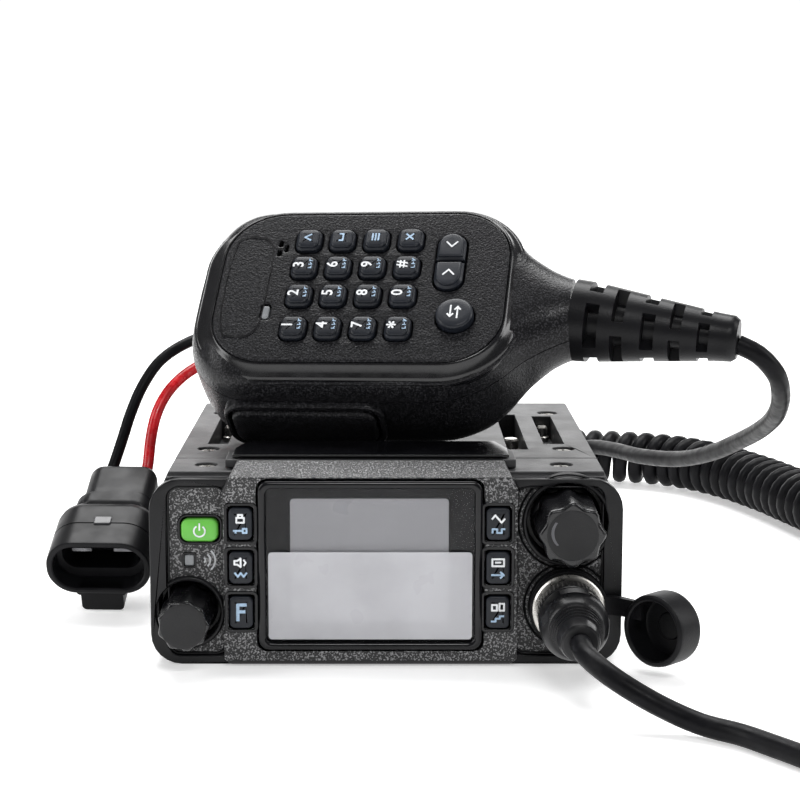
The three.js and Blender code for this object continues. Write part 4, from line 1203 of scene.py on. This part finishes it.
def boot():
    """A tapered sleeve with rows of four slots; every other row is turned by 45 degrees."""
    bends = (0, 5, BOOT_LENGTH - 5.5, BOOT_LENGTH - 1.2, BOOT_LENGTH)
    radii = (BOOT_ROOT, BOOT_ROOT - 0.25, BOOT_TIP + 1.2, BOOT_TIP + 0.9, BOOT_TIP)
    stations = {0.3, 0.6, 5, BOOT_LENGTH - 5.5, BOOT_LENGTH - 1.2, BOOT_LENGTH - 0.6, BOOT_LENGTH}
    for at, width, _ in BOOT_SLOTS:
        for edge in (-1, 1):
            stations |= {at + edge * width / 2 - edge * off for off in (-0.28, -0.1, 0.1)}
    stations |= {float(at) for at in np.arange(1.5, BOOT_LENGTH - 1, 1.6)}
    points, rows = [], []
    c, s = math.cos(BOOT_DROOP), math.sin(BOOT_DROOP)
    for at in sorted(stations):
        r = float(np.interp(at, bends, radii))
        depth, turn = 0.0, 0
        for slot_at, width, slot_turn in BOOT_SLOTS:
            reach = width / 2 - abs(at - slot_at)
            if reach > -0.12:
                depth, turn = (1.0 if reach > 0 else 0.0), slot_turn
        ring = []
        for a in turns(BOOT_SIDES):
            off = abs((math.degrees(a) + turn + 45) % 90 - 45)
            cut_in = 1 - min(1, max(0, (off - 31) / 2))
            radius = r - depth * cut_in * r * 0.4
            v, w = radius * math.cos(a), radius * math.sin(a)
            ring.append(on_mic(NECK + at * c - v * s, at * s + v * c, NECK_W + w))
        add_row(points, rows, ring)
    mesh = mesh_of("boot", points, capped(rows))
    piece("cord_boot", mesh, boot_rubber, "hand_microphone", smooth=40, stands_for="mic_boot")


# ---- Power plug ----
PLUG_FRAME = (Matrix.Translation(Vector((-76.2, -14, 13.4)) * MM)
              @ Euler([math.radians(23), 0, math.radians(-2.5)]).to_matrix().to_4x4())


def on_plug(u, v, w):
    """In the power plug's own frame: u across it, v up, w from its mouth towards its tail."""
    return PLUG_FRAME @ (Vector((u, w, v)) * MM)


def on_plug_top(u, v, w):
    """The same frame with w up out of the plug."""
    return on_plug(u, w, v)


def oblong(x, y, w, h, square=0.4, steps=14):
    return rounded(x, y, w, h, h / 2 - square, steps)


def power_plug():
    skirt, mouth = oblong(0, 0, 27.8, 16.6), oblong(0, 0, 24.4, 13.4)
    ledge = oblong(0, 0.6, 20.5, 8.6)
    waist, tail = rounded(0.8, 0.2, 21.2, 14.4, 5.2, 14), rounded(1.4, 0.4, 18.8, 13, 4.2, 14)
    levels = [(ledge(0), 14.6), (ledge(0), 6.2), (ledge(-0.3), 5.8), (mouth(0.2), 5.6), (mouth(0), 5.2),
              (mouth(0), 0.3),
              (mouth(-0.35), 0), (skirt(0.45), 0), (skirt(0.1), 0.25), (skirt(0), 0.7), (skirt(0),
                                                                                         9.1), (skirt(0.22),
                                                                                                9.2),
              (skirt(0.22), 9.5), (skirt(0), 9.6), (skirt(0.1), 17), (skirt(0.5), 18.8), (skirt(1.4), 20.2),
              (waist(0.2), 21), (waist(0), 21.8), (waist(0.1), 25), (tail(-0.4), 25.6), (tail(0),
                                                                                         26), (tail(0), 38),
              (tail(0.4), 39.2), (tail(1.5), 40.1), (tail(2.6), 40.4)]
    body = stacked("power_plug_body", levels, on_plug)
    clip = slab("clip", rounded(0.4, 10.2, 4.6, 3.2, 0.5), 7.4, 8.75, on_plug_top, 0.3)
    piece("power_plug_body", body, plug_gloss, smooth=40, stands_for="power_plug")
    piece("power_plug_clip", clip, clip_grey)
    tab = slab("tab", rounded(0, -11, 11.4, 7, 1.4), 1.2, 8.6, on_plug, 0.3)
    base = slab("tab_base", rounded(0, -8, 13.4, 2.6, 1), 0.8, 9.6, on_plug, 0.3)
    piece("power_plug_tab", merged("power_plug_tab", [tab, base]), plug_gloss)
    pins = [slab("pin", rounded(x, 0.4, 5.2, 1, 0.2), 8, 14.4, on_plug, 0.2) for x in (-5.6, 5.6)]
    seat = slab("seat", ledge, 13.6, 14.7, on_plug, 0.1)
    piece("power_plug_pins", merged("pins", pins), dark_steel, stands_for="power_plug_insert")
    piece("power_plug_seat", seat, plug_gloss)
    for name, route in (("black_wire_seal", BLACK_ROUTE), ("red_wire_seal", RED_ROUTE)):
        start = spline(in_metres(route), 0.6 * MM)[:5]
        seal = swept(name, start, lambda t: (2.5 - 0.6 * t) * MM, 24)
        piece(name, seal, plug_gloss)


# ---- Rear ----
CORNERS = [(a, b) for a in (-9, 9) for b in (-9, 9)]  # of the flange's screws, from its middle
PANEL_SCREWS = [(-52, 8), (52, 8), (-50, 40), (50, 40)]


def antenna():
    low, high = box_mm("antenna_socket")
    x, z, back = (low.x + high.x) / 2, (low.z + high.z) / 2, low.y
    holes = [circle(x + a, z + b, 1.7, 24) for a, b in CORNERS]
    flange = plate("flange", rounded(x, z, 25, 25, 2), holes, back, back + 2.2, behind, 0.3)
    profile = [(0, 1), (7.6, 1), (7.6, 3)]
    for i in range(12):
        profile += [(7.9, 3.2 + i), (7.5, 3.7 + i)]
    profile += [(7.6, 14.4), (7.3, 14.7), (6.2, 14.7), (6.2, 9.7), (2.3, 9.7), (2.3, 11.9), (1.5, 11.9),
                (1.5, 10),
                (0, 10)]
    barrel = turned("barrel", [(r, back + w) for r, w in profile], behind, x, z)
    piece("antenna_connector", merged("antenna", [flange, barrel]), nickel, smooth=25,
          stands_for="antenna_socket")
    screws = [screw("s", x + a, z + b, back + 1.6, behind, 1.6, 1.2) for a, b in CORNERS]
    screws += [screw("s", a, b, 55.1, behind, 2.4, 1.0) for a, b in PANEL_SCREWS]
    piece("rear_screws", merged("rear_screws", screws), dark_steel)


def gland():
    low, high = box_mm("power_gland")
    x, z, back = (low.x + high.x) / 2, (low.z + high.z) / 2, low.y
    profile = [(0, back), (8, back), (8, back + 1.6), (7.6, back + 2.2), (6, back + 2.6)]
    for i in range(3):
        w, r = back + 3.2 + i * 2, 5.9 - i * 0.15
        profile += [(r, w), (r, w + 1), (5.2, w + 1.2), (5.2, w + 1.8)]
    profile += [(5.2, high.y - 0.4), (4.8, high.y), (0, high.y)]
    piece("cable_gland", turned("cable_gland", profile, behind, x, z), soft_rubber, stands_for="power_gland")


BUILDERS = (casing, front_face, power_surround, status_lamp, display, front_keys, power_button, knobs, socket,
            plug_ring, plug_body, dust_cap, mic_shells, mic_face, mic_surround, mic_lamp, badge, push_to_talk,
            mic_keys, up_down_keys, swap_key, boot, power_plug, antenna, gland)
for build in BUILDERS:
    build()

microphone_cord()
power_wire("power_wire_black", BLACK_ROUTE, black_sheath)
power_wire("power_wire_red", RED_ROUTE, red_sheath)

# ---- CAD nodes that keep their shape ----
FINISHES = [
    (case_paint, "chassis", "top_cover", "front_collar"),
    (bezel_plastic, "front_panel", "mic_plug_body", "mic_plug_ring"),
    (gloss_black, "display_frame", "label_plate", "power_plug"),
    (lens_glass, "display_lens"),
    (screen_grey, "lcd_module"),
    (board_green, "main_board", "control_board", "mic_board"),
    (soft_rubber, "speaker", "power_gland", "volume_knob", "channel_dial", "dust_cap", "ptt_bar", "mic_boot"),
    (nickel, "volume_pot", "dial_encoder", "mic_socket", "antenna_socket", "mic_capsule",
     "power_plug_insert"),
    (mic_grain_and_glints, "mic_front_shell", "mic_back_shell"),
    (green_rubber, "power_button"),
]
finish_of = {name: material for material, *names in FINISHES for name in names}
for name, node in nodes.items():
    node.data.materials.clear()
    node.data.materials.append(finish_of.get(name, key_rubber))
